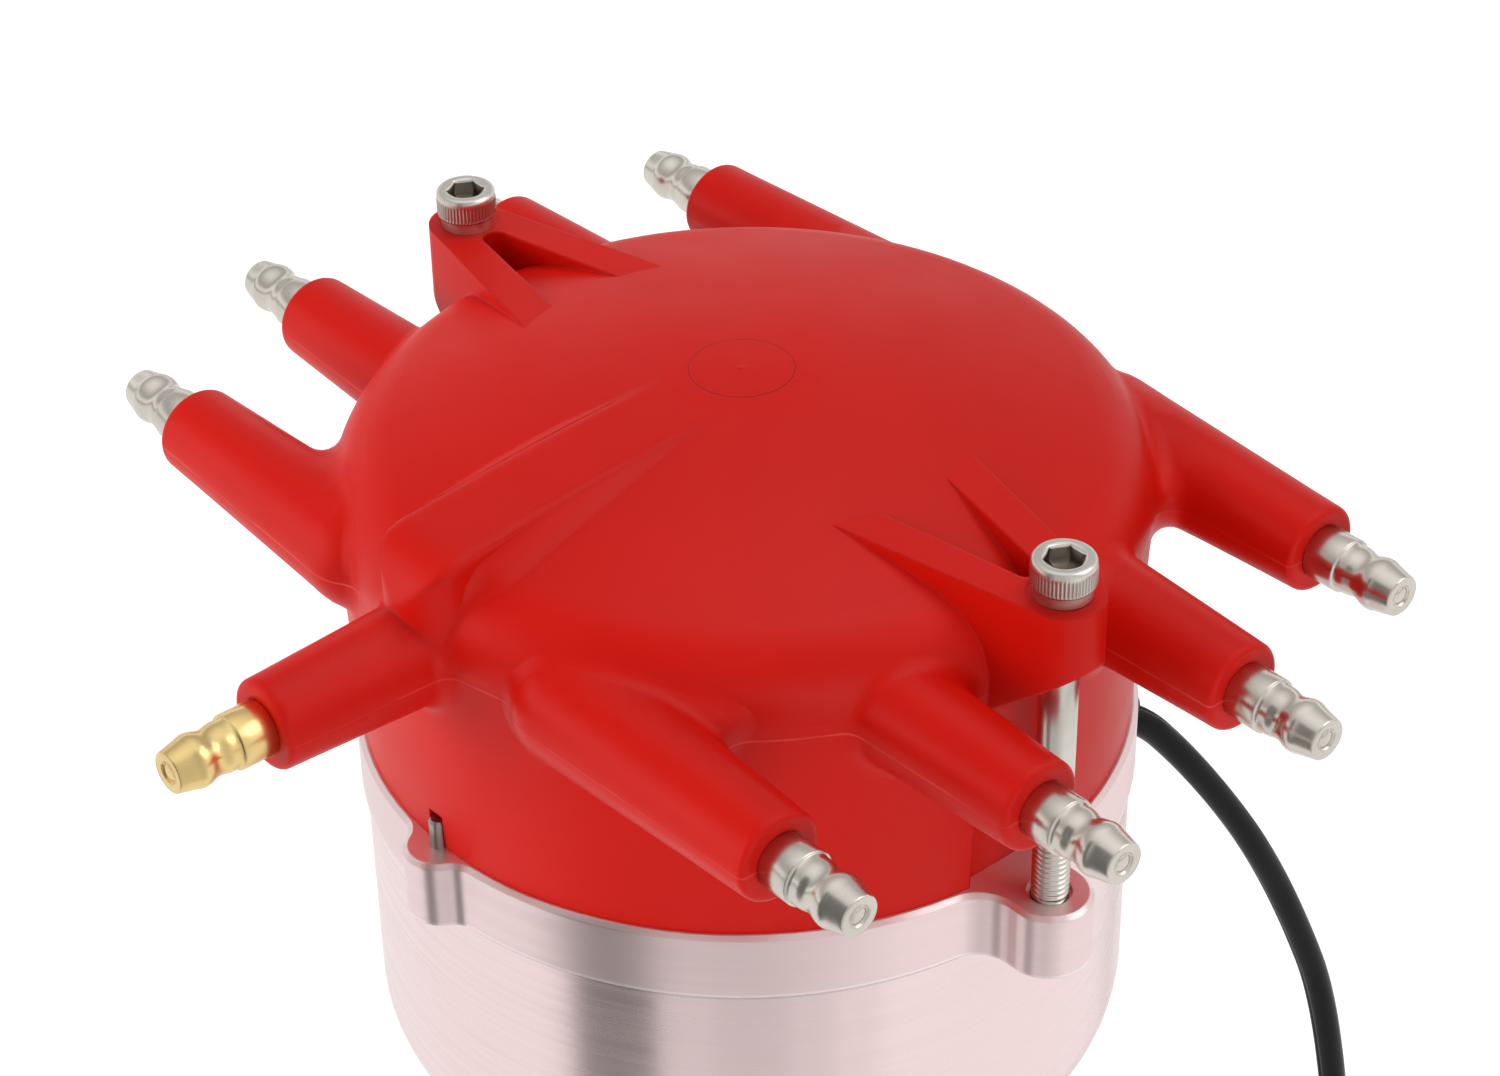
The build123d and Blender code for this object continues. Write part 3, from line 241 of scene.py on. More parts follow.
def turned_aluminium():
    """Bare turned aluminium: tool lines round the axis, soft smudges, a painted highlight along the ring's lower
    edge and a painted shadow line just below it.
    """
    s = Shader("turned_aluminium")
    s.soften(0.00025)
    z = s.split()[2]
    ring_edge = FLANGE - RING_T
    in_ring = s.ramp(z, (ring_edge - 0.05) * MM, (ring_edge + 0.05) * MM)
    # Painted highlight along the ring's lower edge, and a painted shadow line just below that edge.
    from_line = s.math("ABSOLUTE", s.math("SUBTRACT", z, (ring_edge + 0.2) * MM))
    edge_highlight = s.ramp(from_line, 0.12 * MM, 0.3 * MM, 0.9, 0.0)
    from_shadow_line = s.math("ABSOLUTE", s.math("SUBTRACT", z, (ring_edge - 0.45) * MM))
    shadow_line = s.ramp(from_shadow_line, 0.1 * MM, 0.5 * MM, 0.55, 0.0)
    s.bump(s.noise(60, 3, (1, 1, 25)), 0.000006, 1.0)
    s.bump(s.noise(5200, 2, (0.02, 0.02, 1)), 0.0000035, 0.7)
    streaks = s.noise(900, 3, (0.02, 0.02, 1))
    smudged = s.math("MULTIPLY", s.ramp(s.noise(30, 3), 0.35, 0.75), s.ramp(streaks, 0.4, 0.65))
    tint = s.mix(smudged, (0.90, 0.718, 0.711, 1), (0.86, 0.684, 0.678, 1))
    # The painted highlight, then the painted shadow line.
    tint = s.mix(edge_highlight, tint, (0.98, 0.88, 0.87, 1))
    tint = s.mix(shadow_line, tint, (0.42, 0.33, 0.33, 1))
    polish = s.math("ADD", s.ramp(streaks, 0.35, 0.7, 0.24, 0.30), s.math("MULTIPLY", in_ring, 0.12))
    made = s.finish(tint, polish, 1.0, Anisotropic=0.7, Anisotropic_Rotation=0.25)
    tangent = s.node("ShaderNodeTangent", direction_type="RADIAL", axis="Z")
    s.link(tangent.outputs[0], s.bsdf.inputs["Tangent"])
    return made


def sealed_bearing():
    """Ground steel races with a black rubber seal between them."""
    s = Shader("sealed_bearing")
    s.soften(0.00012)
    x, y, z = s.split()
    from_axis = s.length(x, y)
    from_middle = s.math("ABSOLUTE", s.math("SUBTRACT", from_axis, 10.0 * MM))
    seal = s.ramp(from_middle, 2.2 * MM, 2.35 * MM, 1.0, 0.0)
    s.bump(s.ramp(from_middle, 2.2 * MM, 2.5 * MM), 0.0002, 1.0)
    s.bump(s.noise(2600, 2, (0.1, 0.1, 0.1)), 0.000003, 0.5)
    tint = s.mix(seal, (0.54, 0.54, 0.56, 1), (0.016, 0.016, 0.016, 1))
    polish = s.ramp(seal, 0.0, 1.0, 0.2, 0.5)
    metal = s.ramp(seal, 0.0, 1.0, 1.0, 0.0)
    return s.finish(tint, polish, metal)


def screw_steel():
    """Bright socket screw: the hexagon socket and the knurl's grooves are darkened with painted shade."""
    s = Shader("screw_steel")
    s.soften(0.0001)
    x, y, z = s.split()
    across = s.math("SUBTRACT", s.math("ABSOLUTE", x), SCREW_X * MM)
    from_axis = s.length(across, y)
    # Painted shade: the hexagon socket is darkened.
    socket_shade = s.math("MULTIPLY", s.ramp(from_axis, 2.5 * MM, 2.58 * MM, 1.0, 0.0),
                       s.math("MULTIPLY", s.ramp(z, (SEAT + 0.2) * MM, (SEAT + 0.3) * MM),
                              s.ramp(z, (SEAT + HEAD_H - 0.42) * MM, (SEAT + HEAD_H - 0.3) * MM, 1.0, 0.0)))
    # Painted shade: the knurl's grooves are darkened below the head's plain top band.
    groove = s.math("MULTIPLY", s.ramp(from_axis, (HEAD_R - 0.16) * MM, (HEAD_R - 0.03) * MM, 0.7, 0.0),
                    s.math("MULTIPLY", s.ramp(from_axis, (HEAD_R - 0.3) * MM, (HEAD_R - 0.2) * MM),
                           s.ramp(z, (SEAT + 2.7) * MM, (SEAT + 2.9) * MM, 1.0, 0.0)))
    tint = s.mix(s.ramp(s.noise(150, 4), 0.4, 0.75), (0.70, 0.665, 0.61, 1), (0.60, 0.565, 0.51, 1))
    # Both painted shades darken the steel here.
    tint = s.mix(s.math("MAXIMUM", socket_shade, groove), tint, (0.14, 0.115, 0.09, 1))
    return s.finish(tint, s.ramp(s.noise(210, 4), 0.3, 0.75, 0.27, 0.36), 1.0)


# Turned lines of a terminal run round its own axis, so each bank's noise changes along X or Y only.
MATERIALS = {
    "cap_moulding": cap_red(),
    "machined_aluminium": turned_aluminium(),
    "stainless": steel("turned_stainless", (0.68, 0.63, 0.565, 1), 0.26, 0.0000006, 1500, (1, 0, 0)),
    "brass": steel("turned_brass", (0.86, 0.63, 0.27, 1), 0.28, 0.0000006, 1500, (0, 1, 0)),
    "socket_screw_steel": screw_steel(),
    "ground_steel": steel("ground_steel", (0.40, 0.375, 0.35, 1), 0.3, 0.000002, 4000, (0.05, 0.05, 1)),
    "gear_steel": steel("gear_steel", (0.36, 0.36, 0.37, 1), 0.32, 0.000006),
    "sintered_steel": steel("sintered_steel", (0.28, 0.28, 0.29, 1), 0.5, 0.00002, 2600, dulling=0.7),
    "reluctor_steel": steel("reluctor_steel", (0.44, 0.44, 0.45, 1), 0.3, 0.000004),
    "bearing_steel": sealed_bearing(),
    "spring_steel": steel("spring_steel", (0.44, 0.44, 0.46, 1), 0.28, 0.000003),
    "plated_steel": steel("zinc_plate", (0.66, 0.61, 0.46, 1), 0.3, 0.000003, dulling=0.78),
    "contact_aluminium": steel("contact_aluminium", (0.75, 0.75, 0.76, 1), 0.3, 0.000004),
    "bronze": steel("oiled_bronze", (0.46, 0.30, 0.15, 1), 0.42, 0.000012, dulling=0.7),
    "carbon": moulding("carbon", (0.022, 0.022, 0.024, 1), (0.05, 0.05, 0.052, 1), 0.6),
    "nitrile": moulding("nitrile", (0.012, 0.012, 0.012, 1), (0.03, 0.03, 0.03, 1), 0.45),
    "grommet_rubber": moulding("grommet_rubber", (0.010, 0.010, 0.010, 1), (0.022, 0.022, 0.022, 1), 0.6),
    "black_moulding": moulding("black_nylon", (0.014, 0.014, 0.015, 1), (0.028, 0.028, 0.029, 1), 0.48),
    "rotor_moulding": moulding("rotor_red", (0.45, 0.012, 0.008, 1), (0.36, 0.010, 0.006, 1), 0.42),
    "cable_jacket": moulding("cable_vinyl", (0.0035, 0.0033, 0.0035, 1), (0.007, 0.0068, 0.007, 1), 0.34,
                             gloss=0.12),
}

SLOT_OF = {s["node"]: s["material_slot"] for s in frame["record"]["subparts"]}
for node_name, node in NODES.items():
    node.data.materials.clear()
    node.data.materials.append(MATERIALS[SLOT_OF[node_name]])


# -------------------------------------------------------------- mesh building
def mesh_object(name, points, faces, slot, smooth=True, material=None):
    """Object with a slot's material, or with a material of its own; with that, it also keeps sharp creases."""
    mesh = bpy.data.meshes.new(name)
    mesh.from_pydata([tuple(p) for p in points], [], faces)
    mesh.validate()
    mesh.update()
    obj = bpy.data.objects.new(name, mesh)
    bpy.context.scene.collection.objects.link(obj)
    mesh.materials.append(material or MATERIALS[slot])
    if smooth:
        mesh.polygons.foreach_set("use_smooth", [True] * len(mesh.polygons))
    if material:
        mesh.set_sharp_from_angle(angle=math.radians(40))
    return obj


def ring_stack(rings, segments):
    """Skin over a stack of rings. A ring is (radius or function of the angle, height), in mm."""
    points, faces = [], []
    for radius, z in rings:
        for k in range(segments):
            turn = 2 * math.pi * k / segments
            r = radius(turn) if callable(radius) else radius
            points.append(mm(r * math.cos(turn), r * math.sin(turn), z))
    for row in range(len(rings) - 1):
        for k in range(segments):
            a, b = row * segments + k, row * segments + (k + 1) % segments
            faces.append((a, b, b + segments, a + segments))
    faces.append(tuple(reversed(range(segments))))
    faces.append(tuple(range((len(rings) - 1) * segments, len(rings) * segments)))
    return points, faces


def placed(points, matrix):
    return [matrix @ p for p in points]


def joined(parts):
    """One list of points and faces from several."""
    points, faces = [], []
    for part_points, part_faces in parts:
        start = len(points)
        points += part_points
        faces += [tuple(i + start for i in face) for face in part_faces]
    return points, faces


def tube_along(points, radius, sides=8):
    """Round bar along a list of points in mm, with closed ends."""
    frames = []
    side = None
    for k, point in enumerate(points):
        ahead = (points[min(k + 1, len(points) - 1)] - points[max(k - 1, 0)]).normalized()
        if side is None:
            side = ahead.orthogonal().normalized()
        side = (side - ahead * side.dot(ahead)).normalized()
        frames.append((point, side, ahead.cross(side)))
    verts, faces = [], []
    for point, u, v in frames:
        for j in range(sides):
            turn = 2 * math.pi * j / sides
            verts.append((point + (u * math.cos(turn) + v * math.sin(turn)) * radius) * MM)
    for k in range(len(points) - 1):
        for j in range(sides):
            a, b = k * sides + j, k * sides + (j + 1) % sides
            faces.append((a, b, b + sides, a + sides))
    faces.append(tuple(reversed(range(sides))))
    faces.append(tuple(range((len(points) - 1) * sides, len(points) * sides)))
    return verts, faces


# ----------------------------------------------------------------------- lead
CABLE_ANGLE = 72.0
CABLE_D = 4.2
CABLE_SIDES = 48
CABLE_WAIST = 0.24            # share of the radius lost between the two cores
# Radius from the shaft axis and height above the flange, in the vertical plane of CABLE_ANGLE.
CABLE_FLAT = [(40.0, -20.0), (55.3, -20.0), (69.6, -37.5), (84.1, -62.0), (98.3, -100.0), (103.0, -152.0)]


def in_lead_plane(r, z):
    turn = math.radians(CABLE_ANGLE)
    return mm(r * math.cos(turn), r * math.sin(turn), FLANGE + z)


lead_curve = bpy.data.curves.new("lead", "CURVE")
lead_curve.dimensions = "3D"
spline = lead_curve.splines.new("NURBS")
spline.points.add(len(CABLE_FLAT) - 1)
for point, (r, z) in zip(spline.points, CABLE_FLAT):
    point.co = (*in_lead_plane(r, z), 1.0)
spline.order_u = 3
spline.use_endpoint_u = True
lead_curve.resolution_u = 24
section = bpy.data.curves.new("lead_section", "CURVE")
section.dimensions = "2D"
outline = section.splines.new("POLY")
outline.points.add(CABLE_SIDES - 1)
for k, point in enumerate(outline.points):
    turn = 2 * math.pi * k / CABLE_SIDES
    groove = sum(math.exp(-((math.degrees(turn) - at_angle) / 9.0) ** 2) for at_angle in (90, 270))
    r = CABLE_D / 2 * (1 - CABLE_WAIST * groove)
    point.co = (r * math.cos(turn) * MM, r * math.sin(turn) * MM, 0, 1)
outline.use_cyclic_u = True
section_object = bpy.data.objects.new("lead_section", section)
bpy.context.scene.collection.objects.link(section_object)
section_object.hide_render = True
lead_curve.bevel_mode = "OBJECT"
lead_curve.bevel_object = section_object
lead_curve.use_fill_caps = True
lead_curve.materials.append(MATERIALS["cable_jacket"])
lead = bpy.data.objects.new("two_core_lead", lead_curve)
bpy.context.scene.collection.objects.link(lead)
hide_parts("pickup_cable")
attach(lead, "distributor")


# ------------------------------------------------------ cap's moulded details
CAP_TOP, DOME_R = 48.55, 160.0
CAP_R, SHOULDER_R = 51.8, 10.5
RIDGE_SHIFT, RIDGE_HALF, RIDGE_NOSE = 0.4, 6.28, 6.0
RIDGE_TOP, RIDGE_FALL = 48.35, 2.65
RIDGE_START, RIDGE_END, NOSE_START = -8.0, -49.0, -48.0
COVE_R = 4.6
NOSE_SHARE = 0.62             # of the cove's radius left where the ridge's nose starts
COVE_STEPS = 12
COVE_SINK = 0.03              # into the dome, so that no edge of it stands proud
COVE_EDGE = (0.3, 0.35)       # the cove's top behind the flank and below the ridge's top
LOW_WALL = 0.8                # the cove ends on the flank where that rises this much, else on the ridge's edge
COVE_ROOT = (0.45, 0.5)       # closing point behind the flank and below the dome


def over_dome(r, offset):
    """Height above the flange and outward slope (radial, up) of the cap's top, offset outward, at radius r."""
    reach = math.sqrt((DOME_R - SHOULDER_R) ** 2 - (CAP_R - SHOULDER_R) ** 2)
    bend = (DOME_R + offset) * (CAP_R - SHOULDER_R) / (DOME_R - SHOULDER_R)
    if r <= bend:
        rise = math.sqrt((DOME_R + offset) ** 2 - r ** 2)
        return CAP_TOP - DOME_R + rise, r / (DOME_R + offset), rise / (DOME_R + offset)
    out = r - (CAP_R - SHOULDER_R)
    rise = math.sqrt(max(0.0, (SHOULDER_R + offset) ** 2 - out ** 2))
    return CAP_TOP - DOME_R + reach + rise, out / (SHOULDER_R + offset), rise / (SHOULDER_R + offset)


def cove_stations(side):
    """Foot points of the ridge's flank, their outward direction, the wall's top and the cove's radius."""
    stations = []
    for k in range(29):
        y = RIDGE_START + (RIDGE_END - RIDGE_START) * k / 28
        fade = min(1.0, (y - RIDGE_END) / 3.0 + NOSE_SHARE)
        stations.append((Vector((RIDGE_SHIFT + side * RIDGE_HALF, y)), Vector((side, 0.0)),
                         RIDGE_TOP - RIDGE_FALL * (y / 47) ** 2, COVE_R * fade))
    middle = Vector((RIDGE_SHIFT + side * (RIDGE_HALF - RIDGE_NOSE), NOSE_START))
    for k in range(1, 9):
        turn = math.radians(10 + 32 * k / 8)
        facing = Vector((side * math.cos(turn), -math.sin(turn)))
        stations.append((middle + facing * RIDGE_NOSE, facing, RIDGE_TOP - RIDGE_FALL * 1.1,
                         COVE_R * (NOSE_SHARE - 0.4 * k / 8)))
    return stations


def cove_section(foot, facing, wall_top, radius):
    """Arc from the ridge's wall, or its top edge where the wall is low, out to the dome."""
    edge = Vector((-COVE_EDGE[0], wall_top - COVE_EDGE[1]))
    sunk = radius - COVE_SINK
    low, high = 0.0, sunk
    for _ in range(24):
        out = (low + high) / 2
        height = over_dome((foot + facing * out).length, sunk)[0]
        if height < wall_top - LOW_WALL or (Vector((out, height)) - edge).length < radius:
            low = out
        else:
            high = out
    middle = foot + facing * low
    height, outward, upward = over_dome(middle.length, sunk)
    lean = middle.normalized() * outward
    normal = Vector((lean.x, lean.y, upward))
    centre = Vector((middle.x, middle.y, FLANGE + height))
    if height < wall_top - LOW_WALL:
        inward = Vector((-facing.x, -facing.y, 0.0))
    else:
        top = foot - facing * COVE_EDGE[0]
        inward = (Vector((top.x, top.y, FLANGE + wall_top - COVE_EDGE[1])) - centre).normalized()
    opening = inward.angle(-normal)
    section = []
    for k in range(COVE_STEPS + 1):
        share = k / COVE_STEPS
        toward = inward * math.sin((1 - share) * opening) - normal * math.sin(share * opening)
        section.append((centre + toward / math.sin(opening) * radius) * MM)
    root = foot - facing * COVE_ROOT[0]
    section.append(mm(root.x, root.y, FLANGE + over_dome(root.length, 0)[0] - COVE_ROOT[1]))
    return section


def ridge_cove(side):
    """Hollow fillet where the ridge's flank meets the dome."""
    points, faces = [], []
    sections = [cove_section(*station) for station in cove_stations(side)]
    row = len(sections[0])
    for section in sections:
        points.extend(section)
    for a in range(len(sections) - 1):
        for k in range(row):
            b, c = a * row + k, a * row + (k + 1) % row
            faces.append((b, c, c + row, b + row) if side < 0 else (b, b + row, c + row, c))
    start, end = tuple(range(row)), tuple(range(len(points) - row, len(points)))
    faces += [start[::-1], end] if side < 0 else [start, end[::-1]]
    return points, faces


cap_fillet = cap_red("cap_red_fillet", soft=False)
coves = mesh_object("ridge_coves", *joined([ridge_cove(1), ridge_cove(-1)]), "cap_moulding",
                    material=cap_fillet)
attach(coves, "distributor")


SWELL_MIDDLE = (37.0, -36.4, FLANGE + 34.6)
SWELL_FROM, SWELL_TO, SWELL_HALF = -7.0, 6.0, 3.0
SWELL_RISE, SWELL_FALL = 9.5, 3.6
SWELL_SINK, SWELL_DEPTH = 0.05, 0.8     # rim below the cap's surface, and the closed underside


def root_swelling():
    """Small swelling of the moulding beside the front tower's root, laid over the cap's own surface."""
    cap = NODES["cap"]
    skin = BVHTree.FromPolygons([cap.matrix_world @ v.co for v in cap.data.vertices],
                                [tuple(p.vertices) for p in cap.data.polygons])
    middle = mm(*SWELL_MIDDLE)
    out = Vector((0.72, -0.32, 0.62)).normalized()
    along = Vector((5.7, 4.4, -4.7))
    along = (along - out * along.dot(out)).normalized()
    aside = out.cross(along)
    columns, rows = 40, 24
    outer, inner = [], []
    for i in range(columns + 1):
        length = SWELL_FROM + (SWELL_TO - SWELL_FROM) * i / columns
        growth = (max(0.0, min(1.0, (length - SWELL_FROM) / SWELL_RISE))
                  * max(0.0, min(1.0, (SWELL_TO - length) / SWELL_FALL)))
        swell = 0.5 - 0.5 * math.cos(math.pi * growth)
        for j in range(rows + 1):
            width = SWELL_HALF * (2 * j / rows - 1)
            height = swell * (0.5 + 0.5 * math.cos(math.pi * width / SWELL_HALF)) - SWELL_SINK
            over = middle + (along * length + aside * width) * MM
            found = skin.ray_cast(over + out * 5 * MM, -out)[0] or over
            outer.append(found + out * height * MM)
            inner.append(found - out * SWELL_DEPTH * MM)
    count, row = len(outer), rows + 1
    faces = []
    for i in range(columns):
        for j in range(rows):
            a = i * row + j
            faces.append((a, a + row, a + row + 1, a + 1))
            faces.append((count + a, count + a + 1, count + a + row + 1, count + a + row))
    rim = ([i * row for i in range(columns + 1)] + [columns * row + j for j in range(1, row)]
           + [i * row + rows for i in range(columns - 1, -1, -1)] + [j for j in range(rows - 1, 0, -1)])
    for a, b in zip(rim, rim[1:] + rim[:1]):
        faces.append((b, a, count + a, count + b))
    return outer + inner, faces


swelling = mesh_object("root_swelling", *root_swelling(), "cap_moulding", material=cap_fillet)
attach(swelling, "distributor")


# --------------------------------------------------------------- cap hardware
def hexagon(half):
    def radius(turn):
        return half / math.cos((turn % (math.pi / 3)) - math.pi / 6)
    return radius


def knurled(r):
    def radius(turn):
        return r - KNURL_DEPTH * abs(math.sin(turn * KNURLS)) ** 0.8
    return radius


def threaded(z):
    def radius(turn):
        phase = (z / PITCH + turn / (2 * math.pi)) % 1.0
        return SCREW_R - THREAD_DEPTH * abs(2 * phase - 1) ** 0.9
    return radius


def cap_screw():
    """Socket head screw: threaded shank with its plain part, knurled head and hexagon socket."""
    low, thread_top = SEAT - SHANK_LENGTH, SEAT - SHANK_LENGTH + THREAD_LENGTH
    rings = [(1.5, low), (1.9, low + 0.3)]
    steps = int((thread_top - low - 0.6) / PITCH * 7)
    for k in range(steps):
        z = low + 0.5 + k * PITCH / 7
        rings.append((threaded(z), z))
    rings += [(SCREW_R - 0.25, thread_top + 0.1), (SCREW_R - 0.03, thread_top + 0.7), (SCREW_R - 0.03, SEAT + 0.1)]
    shank = ring_stack(rings, 96)
    rings = [(SCREW_R - 0.03, SEAT), (HEAD_R - 0.35, SEAT), (HEAD_R - 0.12, SEAT + 0.12),
             (HEAD_R - 0.06, SEAT + 0.32)]
    rings += [(knurled(HEAD_R), SEAT + 0.42 + k * 0.2) for k in range(11)]
    top = SEAT + HEAD_H
    rings += [(HEAD_R - 0.05, top - 1.0), (HEAD_R - 0.06, top - 0.55), (HEAD_R - 0.22, top - 0.2),
              (HEAD_R - 0.5, top - 0.03), (HEAD_R - 0.75, top), (2.72, top), (2.6, top - 0.05)]
    rings += [(hexagon(SOCKET_HALF), top - 0.3), (hexagon(SOCKET_HALF - 0.01), top - 2.0), (1.3, top - 2.5),
              (0.05, top - 2.9)]
    return joined([shank, ring_stack(rings, 312)])


def spring_washer():
    """Split ring whose slanted gap faces away from the front."""
    inner_r, steps = SCREW_R + 0.16, 90
    corners = [(inner_r, 0.0), (WASHER_R, 0.0), (WASHER_R, WASHER_T), (inner_r, WASHER_T)]
    points, faces = [], []
    for k in range(steps + 1):
        for r, rise in corners:
            slant = 0.25 * (rise / WASHER_T - 0.5)
            turn = math.radians(143) + 0.07 + (2 * math.pi - 0.14) * k / steps + slant
            points.append(mm(r * math.cos(turn), r * math.sin(turn), BOSS_TOP + rise))
    for k in range(steps):
        for c in range(4):
            a, b = k * 4 + c, k * 4 + (c + 1) % 4
            faces.append((a, a + 4, b + 4, b))
    faces += [(0, 1, 2, 3), tuple(steps * 4 + c for c in (3, 2, 1, 0))]
    return points, faces


def on_both_sides(points, faces):
    """Copies of a form on the Z axis at the two cap screws."""
    return joined([(placed(points, Matrix.Translation(mm(side * SCREW_X, 0, 0))), faces) for side in (1, -1)])


cap_screws = mesh_object("socket_head_screws", *on_both_sides(*cap_screw()), "socket_screw_steel")
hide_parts("cap_screws")
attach(cap_screws, "distributor")
washers = mesh_object("spring_washers", *on_both_sides(*spring_washer()), SLOT_OF["lock_washers"],
                      smooth=False)
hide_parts("lock_washers")
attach(washers, "distributor")


# ------------------------------------------------------------------ terminals
TERMINAL_OUT = 13.0           # from the shoulder that its tower's mouth hides to the tip
TERMINAL_R = 3.55
PLUG_TIPS = ((-44.1, 70.7), (-16.5, 83.5), (16.5, 83.5), (44.1, 70.7))    # Y and distance in X
COIL_TIP = 86.5


def terminal():
    """Male end: barrel, lip, waist, crest, and cone with a raised disc in its end."""
    r = TERMINAL_R
    rings = [(2.0, -19.0), (2.0, -2.5), (3.3, -2.5), (3.3, 0.02), (r - 0.04, 0.02), (r, 0.06), (r, 4.45),
             (r - 0.03, 4.56), (r - 0.08, 4.62), (3.26, 4.66), (3.22, 4.72), (3.2, 5.2), (3.2, 5.7)]
    for k in range(1, 21):
        along = k / 20
        dip = 0.5 - 0.5 * math.cos(2 * math.pi * along)
        rings.append((3.2 + 0.18 * along ** 2 - 0.3 * dip, 5.7 + 3.5 * along))
    rings += [(3.40, 9.4), (3.40, 9.6), (3.38, 9.8), (3.34, 10.0), (3.28, 10.2)]
    rings += [(3.21 - 0.54 * k / 6, 10.4 + 2.4 * k / 6) for k in range(7)]
    rings += [(2.63, 12.92), (2.52, TERMINAL_OUT), (1.5, TERMINAL_OUT - 0.02), (1.42, TERMINAL_OUT - 0.1),
              (1.34, TERMINAL_OUT - 0.34), (1.2, TERMINAL_OUT - 0.36), (1.08, TERMINAL_OUT - 0.3),
              (0.9, TERMINAL_OUT - 0.16), (0.5, TERMINAL_OUT - 0.06), (0.05, TERMINAL_OUT - 0.04)]
    return ring_stack(rings, 72)


def lay_along(x, y, angle):
    """Placement of a terminal that points away from the axis at the towers' height."""
    turn = Matrix.Rotation(math.radians(angle), 4, "Z") @ Matrix.Rotation(math.radians(90), 4, "Y")
    return Matrix.Translation(mm(x, y, TOWER_Z)) @ turn


terminal_points, terminal_faces = terminal()
plug_places = []
for side in (1, -1):
    for y, tip in PLUG_TIPS:
        plug_places.append((side * (tip - TERMINAL_OUT), y, 0 if side > 0 else 180))
plug_ends = mesh_object("plug_terminal_ends", *joined(
    [(placed(terminal_points, lay_along(*place)), terminal_faces) for place in plug_places]), "stainless")
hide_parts("plug_terminals")
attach(plug_ends, "distributor")
coil_end = mesh_object("coil_terminal_end", placed(terminal_points, lay_along(0, TERMINAL_OUT - COIL_TIP, -90)),
                       terminal_faces, "brass")
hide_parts("coil_terminal")
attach(coil_end, "distributor")


# -------------------------------------------------------------------- springs
WEIGHT_PIVOT = 23.0
WEIGHT_POST_R, WEIGHT_POST_ANGLE = 23.0, 92.0
POST_SPACING = 15.5
SPRING_Z = FLANGE + 1.2
COIL_R, EYE_R, WIRE_R = 1.65, 1.68, 0.3
COIL_TURNS = 10


def spring_line():
    """Centreline of a tension spring from post to post along X: an eye, the coil and the other eye."""
    points = []
    for k in range(19):
        turn = math.radians(60 + 280 * k / 18)
        points.append(Vector((EYE_R * math.cos(turn), EYE_R * math.sin(turn), 0)))
    first, last = EYE_R + 1.3, POST_SPACING - EYE_R - 1.3
    steps = COIL_TURNS * 14
    for k in range(steps + 1):
        turn = math.pi + 2 * math.pi * COIL_TURNS * k / steps
        x = first + (last - first) * k / steps
        points.append(Vector((x, COIL_R * math.cos(turn), COIL_R * math.sin(turn))))
    for k in range(19):
        turn = math.radians(-160 + 280 * k / 18)
        points.append(Vector((POST_SPACING + EYE_R * math.cos(turn), EYE_R * math.sin(turn), 0)))
    return points


def advance_spring(name, node, turn):
    """Spring from a post of the advance plate to a post of a weight."""
    post = Vector((WEIGHT_POST_R * math.cos(math.radians(WEIGHT_POST_ANGLE)),
                   WEIGHT_POST_R * math.sin(math.radians(WEIGHT_POST_ANGLE)), 0))
    away = Vector((post.y, WEIGHT_PIVOT - post.x, 0)).normalized()
    plate_post = post - away * POST_SPACING
    lie = Matrix.Rotation(math.radians(turn), 4, "Z") @ Matrix.Translation((*plate_post.xy, SPRING_Z))
    lie = lie @ Matrix.Rotation(math.atan2(away.y, away.x), 4, "Z")
    line = [lie @ p for p in spring_line()]
    coil = mesh_object(name, *tube_along(line, WIRE_R), "spring_steel")
    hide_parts(node)
    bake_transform(coil)


advance_spring("advance_spring_right", "spring_a", 0)
advance_spring("advance_spring_left", "spring_b", 180)


def brush_coil():
    """Compression spring that presses the carbon brush on the rotor."""
    low, high, turns, coil_r, wire_r = FLANGE + 38.62, FLANGE + 41.78, 4.5, 1.55, 0.2
    steps = int(turns * 20)
    line = []
    for k in range(steps + 1):
        turn = 2 * math.pi * turns * k / steps
        rise = min(1.0, max(0.0, (k / steps - 0.08) / 0.84))
        line.append(Vector((coil_r * math.cos(turn), coil_r * math.sin(turn), low + (high - low) * rise)))
    coil = mesh_object("brush_coil_spring", *tube_along(line, wire_r), "spring_steel")
    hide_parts("brush_spring")
    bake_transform(coil)


brush_coil()


# ---------------------------------------------------------------------- stage
STAGE_CENTRE = Vector((0, 0, 0.11))


def area_light(name, azimuth, elevation, distance, size, power, gloss=True):
    """Square lamp that looks at the cap from an azimuth and an elevation in degrees."""
    turn, rise = math.radians(azimuth), math.radians(elevation)
    flat = distance * math.cos(rise)
    away = Vector((flat * math.cos(turn), flat * math.sin(turn), distance * math.sin(rise)))
    data = bpy.data.lights.new(name, "AREA")
    data.shape = "SQUARE"
    data.size = size
    data.energy = power
    obj = bpy.data.objects.new(name, data)
    bpy.context.scene.collection.objects.link(obj)
    obj.location = STAGE_CENTRE + away
    obj.rotation_euler = (-away).to_track_quat("-Z", "Y").to_euler()
    obj.visible_glossy = gloss
    return obj


area_light("overhead", 100, 74, 1.0, 0.8, 5.8, gloss=False)
right_box = area_light("right_box", 41, 43, 1.0, 0.7, 2.8)
right_box.visible_diffuse = False
area_light("key_left", -125, 10, 1.0, 0.7, 6.2, gloss=False)
area_light("front_fill", -20, 4, 1.2, 0.6, 4.6, gloss=False)


world = bpy.data.worlds.new("studio")
bpy.context.scene.world = world
world.use_nodes = True
wt = world.node_tree
wt.nodes.clear()
where = wt.nodes.new("ShaderNodeTexCoord")
split = wt.nodes.new("ShaderNodeSeparateXYZ")
wt.links.new(where.outputs["Generated"], split.inputs[0])


